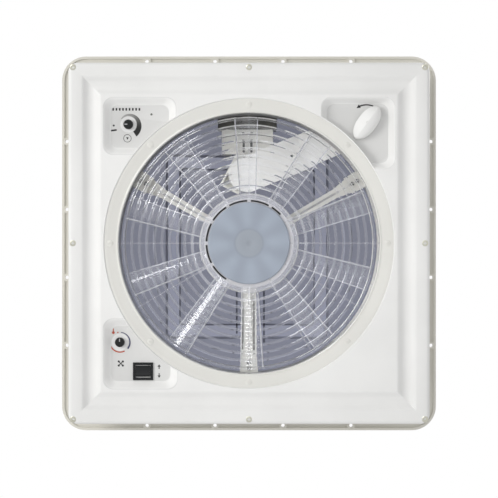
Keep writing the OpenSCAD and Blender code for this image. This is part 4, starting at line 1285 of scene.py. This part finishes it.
class VENT_OT_marks(bpy.types.Operator):
    """Prints the plain symbols round the controls"""

    bl_idname = "vent.marks"
    bl_label = "Printed marks"

    # Number of ticks over the speed dial, and their step in millimetres.
    tick_count = 9
    tick_step = 4
    # Length and width of an arrow for the air, and where the lift arrow ends in degrees.
    arrow = (5.6 * MM, 1.1 * MM)
    lift_tip = -121

    def execute(self, context):
        self.print_speed()
        self.print_thermostat()
        self.print_switch()
        self.print_lift()
        return {"FINISHED"}

    def add(self, name, ink_name, outlines, z=FLOOR_Z):
        """One printed piece of several outlines."""
        bm = bmesh.new()
        for outline in outlines:
            mark(bm, outline, z, bpy.context.scene.vent_sizes.print_t)
        new_piece(name, bm, ink_name, "frame")

    def print_speed(self):
        """Pale ring, an arc that darkens and widens, a dot, a bar, a row of ticks and a ringed triangle."""
        dial, badge = SPEED_AT, beside(SPEED_AT, -1.2, 16.8)
        self.add("speed_print_ring", "white_ink", [dot_outline(dial, 9.8 * MM, 48)])
        arc = arc_outline(dial, -142, 56, 10.4 * MM, 11.4 * MM, 17.6 * MM)
        self.add("speed_print_arc", "graded_ink", [arc])
        outlines = [
            dot_outline(beside(dial, -17.9, 1.2), 1.2 * MM),
            bar_outline(beside(dial, -17.8, 7), 7 * MM, 1.9 * MM, -8),
            arc_outline(badge, 0, 359.9, 4.3 * MM, 4.9 * MM, 4.9 * MM),
            [beside(badge, -1.6, -1.3), beside(badge, 1.6, -1.3), beside(badge, 0, 1.8)],
        ]
        for i in range(self.tick_count):
            at = beside(dial, -18.6 + i * self.tick_step, -18.6)
            outlines.append(bar_outline(at, 3.2 * MM, 2 * MM, 90))
        self.add("speed_print_black", "black_ink", outlines)

    def print_thermostat(self):
        """Pale ring with a red arc and a blue arc, a small thermometer and a dot."""
        dial = THERMOSTAT_AT
        self.add("thermostat_print_ring", "white_ink", [dot_outline(dial, 10.4 * MM, 48)])
        self.add("thermostat_print_red", "red_ink", [
            arc_outline(dial, 62, 172, 11.4 * MM, 12.9 * MM, 12.9 * MM),
            bar_outline(beside(dial, -8, -15.6), 7 * MM, 1.1 * MM, 90),
            dot_outline(beside(dial, -8, -11.6), 1.7 * MM),
            dot_outline(beside(dial, -2.6, -11.8), 0.9 * MM),
        ])
        arc = arc_outline(dial, -84, 40, 11.4 * MM, 12.4 * MM, 13.2 * MM)
        self.add("thermostat_print_blue", "blue_ink", [arc])

    def print_switch(self):
        """Fan symbol beside the switch, and an arrow each way for the air."""
        at = beside(SWITCH_AT, -27.2, -9.4)
        outlines = [bar_outline(at, 7.4 * MM, 1.0 * MM, angle) for angle in (45, 135)]
        outlines += [dot_outline(beside(at, 2.5 * a, 2.5 * b), 1.25 * MM) for a, b in SQUARE]
        for along, angle in ((-5.6, -90), (5.2, 90)):
            outlines += arrow_outlines(beside(SWITCH_AT, 19.5, along), *self.arrow, angle)
        self.add("switch_print", "black_ink", outlines)

    def print_lift(self):
        """Curved arrow that shows which way the lift knob opens the dome."""
        arc = arc_outline(CRANK_AT, -113, -70, 21.4 * MM, 23.2 * MM, 22.8 * MM)
        tip = polar(CRANK_AT, 22.2 * MM, math.radians(self.lift_tip))
        head = [(0.0, -1.6 * MM), (2.4 * MM, 3.2 * MM), (-2.4 * MM, 3.2 * MM)]
        self.add("lift_print", "black_ink", [arc, turned_points(tip, self.lift_tip, head)], LIFT_FLOOR_Z)


class VENT_OT_lift(bpy.types.Operator):
    """Makes the sculpted lift knob and finishes the crank, worm, arm and hanger"""

    bl_idname = "vent.lift"
    bl_label = "Dome lift"

    half_length = 23.6 * MM
    half_w = 11.4 * MM
    end_half = 0.4 * MM
    # Angle of the knob's long axis in degrees.
    long_axis = -53
    back_gap = 0.5 * MM
    waist_h = 3.2 * MM
    back_h = 3.0 * MM
    facet = 0.52
    # How full the knob's plan, ends, crest and round side are, as powers.
    plan_power, end_power, crest_power, side_power = 2.4, 0.62, 0.45, 0.85
    knob_steps = 36
    # Places and size of the dark bars of painted shadow in the slots of the hanger's plate.
    slot_x = (-7.6 * MM, 2.5 * MM)
    slot_y = -121.5 * MM
    slot_size = (3 * MM, 14.5 * MM, 1 * MM)
    slot_rise = 0.4 * MM
    slot_bevel = 0.2 * MM

    def execute(self, context):
        self.add_knob()
        self.add_slot_shadows()
        dress("arm_painted_shade_moulding", "lift_arm", "gear_bracket")
        dress("cream_moulding", "dome_hanger", "lift_ball")
        dress("shield_and_shadow_moulding", "hanger_shield")
        dress("zinc_steel", "crank_shaft", "knob_screw", "arm_pin")
        dress("turned_brass", "lift_worm")
        return {"FINISHED"}

    def add_slot_shadows(self):
        """Painted shadow: dark bars on the floors of the two slots in the hanger's plate."""
        z = low_z("dome_hanger") + self.slot_rise
        bm = bmesh.new()
        for x in self.slot_x:
            block(bm, (x, self.slot_y, z), self.slot_size, self.slot_bevel)
        new_piece("dome_hanger_slot_shadows", bm, "black_and_shadow_moulding", "dome")

    def section(self, along, count=64):
        """Section of the knob: a flat facet, a ridge and a round side towards the room, and a flat back."""
        waist = LIFT_FLOOR_Z - self.back_gap - self.waist_h
        taper = max(1.0 - abs(along / self.half_length) ** self.plan_power, 0.0)
        width = self.half_w * taper ** self.end_power + self.end_half
        crest = (waist - low_z("lift_knob")) * taper ** self.crest_power
        ring = []
        for k in range(count):
            share, lift = polar(ORIGIN, 1.0, TURN * k / count)
            if lift > 0.001:
                z = waist + self.back_h * lift
            elif share < 0:
                z = waist - crest * (self.facet + (1.0 - self.facet) * (1.0 + share))
            else:
                z = waist - crest * abs(lift) ** self.side_power
            point = turned_points(CRANK_AT, self.long_axis, [(along, width * share)])[0]
            ring.append((*point, z))
        return ring

    def add_knob(self):
        """Knob whose sections stand closer towards its ends."""
        rings = []
        for k in range(self.knob_steps + 1):
            angle = TURN / 4 * (2 * k / self.knob_steps - 1)
            rings.append(self.section(self.half_length * math.sin(angle)))
        bm = bmesh.new()
        loft(bm, rings, "capped")
        new_piece("lift_knob_grip", bm, "white_moulding", "crank", "lift_knob", sharp=13.0)


def screw_head(bm, place, rise, radius, height, recess):
    """A low round head that faces the room, with a cross recess."""
    x, y = place
    z = FACE_Z + rise
    top = z - height
    shares = ((1.0, 0.0), (1.0, 0.35), (0.93, 0.75), (0.78, 1.0))
    profile = [(across * radius, z - up * height) for across, up in shares]
    rim = turned(bm, profile, count=28, centre=place, ends="open")
    arm, half = 0.52 * radius, 0.13 * radius
    corners = [(arm, -half), (arm, half), (half, half)]
    for _ in range(3):
        corners += [(-b, a) for a, b in corners[-3:]]
    cross = loft(bm, [[(x + a, y + b, depth) for a, b in corners] for depth in (top, top + recess)])
    bm.faces.new(cross[-1])
    bm.faces.new(rim[0])
    fill_between(bm, [rim[-1], cross[0]])


class VENT_OT_screws(bpy.types.Operator):
    """Makes the screw heads that the room sees and finishes the others"""

    bl_idname = "vent.screws"
    bl_label = "Screws"

    frame_screw_in = 6 * MM
    guard_screw_in = 6.5 * MM
    guard_screw_count = 8
    # Height of its seat over the face, radius, height and depth of the cross, for each kind of head.
    frame_head = (0.9 * MM, 4 * MM, 1.2 * MM, 0.8 * MM)
    guard_head = (1.3 * MM, 2.7 * MM, 0.5 * MM, 0.4 * MM)
    # Radius and rise over the face of the boss under a guard screw, in millimetres.
    boss_profile = ((4.2, 2.0), (3.9, 1.4), (3.4, 1.2), (2.6, 1.2))

    def execute(self, context):
        self.add_frame_screws()
        self.add_guard_screws()
        dress("black_and_shadow_moulding", "spider_screws")
        dress("zinc_steel", "motor_screws", "board_screws", "bracket_screws", "hanger_screws", "leaf_screws")
        return {"FINISHED"}

    def add_frame_screws(self):
        """Eight flat heads in the corners and at the middles of the frame's sides."""
        at = FRAME_HALF - self.frame_screw_in
        places = [(a, b) for a in (-at, 0.0, at) for b in (-at, 0.0, at) if a or b]
        bm = bmesh.new()
        for place in places:
            screw_head(bm, place, *self.frame_head)
        new_piece("frame_screw_heads", bm, "yellow_zinc", "frame", "frame_screws", sharp=40.0)

    def add_guard_screws(self):
        """Eight pale heads, each on a low boss of the holding ring."""
        boss = [beside((0.0, FACE_Z), radius, rise) for radius, rise in self.boss_profile]
        bm = bmesh.new()
        for i in range(self.guard_screw_count):
            at = polar(ORIGIN, RING_OUT - self.guard_screw_in, TURN * i / self.guard_screw_count)
            turned(bm, boss, count=32, centre=at, ends="open")
            screw_head(bm, at, *self.guard_head)
        new_piece(
            "guard_screw_heads", bm, "cream_moulding", "frame", "guard_screws", sharp=40.0,
        )


OPERATORS = (
    VENT_OT_finishes, VENT_OT_stage, VENT_OT_frames, VENT_OT_dome, VENT_OT_guard, VENT_OT_fan,
    VENT_OT_controls, VENT_OT_marks, VENT_OT_lift, VENT_OT_screws,
)


class VENT_PT_panel(bpy.types.Panel):
    """Lists what makes the roof vent's looks"""

    bl_idname = "VENT_PT_panel"
    bl_label = "Roof vent"
    bl_space_type = "VIEW_3D"
    bl_region_type = "UI"
    bl_category = "Roof vent"

    def draw(self, context):
        for group in (context.scene.vent_colours, context.scene.vent_sizes):
            for name in group.__annotations__:
                self.layout.prop(group, name)
        for operator in OPERATORS:
            self.layout.operator(operator.bl_idname)


CLASSES = (RoofVentColours, RoofVentSizes, *OPERATORS, VENT_PT_panel)


def register():
    """Adds the classes and the scene's settings."""
    for made in CLASSES:
        bpy.utils.register_class(made)
    bpy.types.Scene.vent_colours = PointerProperty(type=RoofVentColours)
    bpy.types.Scene.vent_sizes = PointerProperty(type=RoofVentSizes)


def unregister():
    """Takes the settings and the classes away."""
    del bpy.types.Scene.vent_sizes
    del bpy.types.Scene.vent_colours
    for made in reversed(CLASSES):
        bpy.utils.unregister_class(made)


def main():
    register()
    bpy.ops.vent.finishes()
    bpy.ops.vent.stage()
    bpy.ops.vent.frames()
    bpy.ops.vent.dome()
    bpy.ops.vent.guard()
    bpy.ops.vent.fan()
    bpy.ops.vent.controls()
    bpy.ops.vent.marks()
    bpy.ops.vent.lift()
    bpy.ops.vent.screws()


if __name__ == "__main__":
    main()
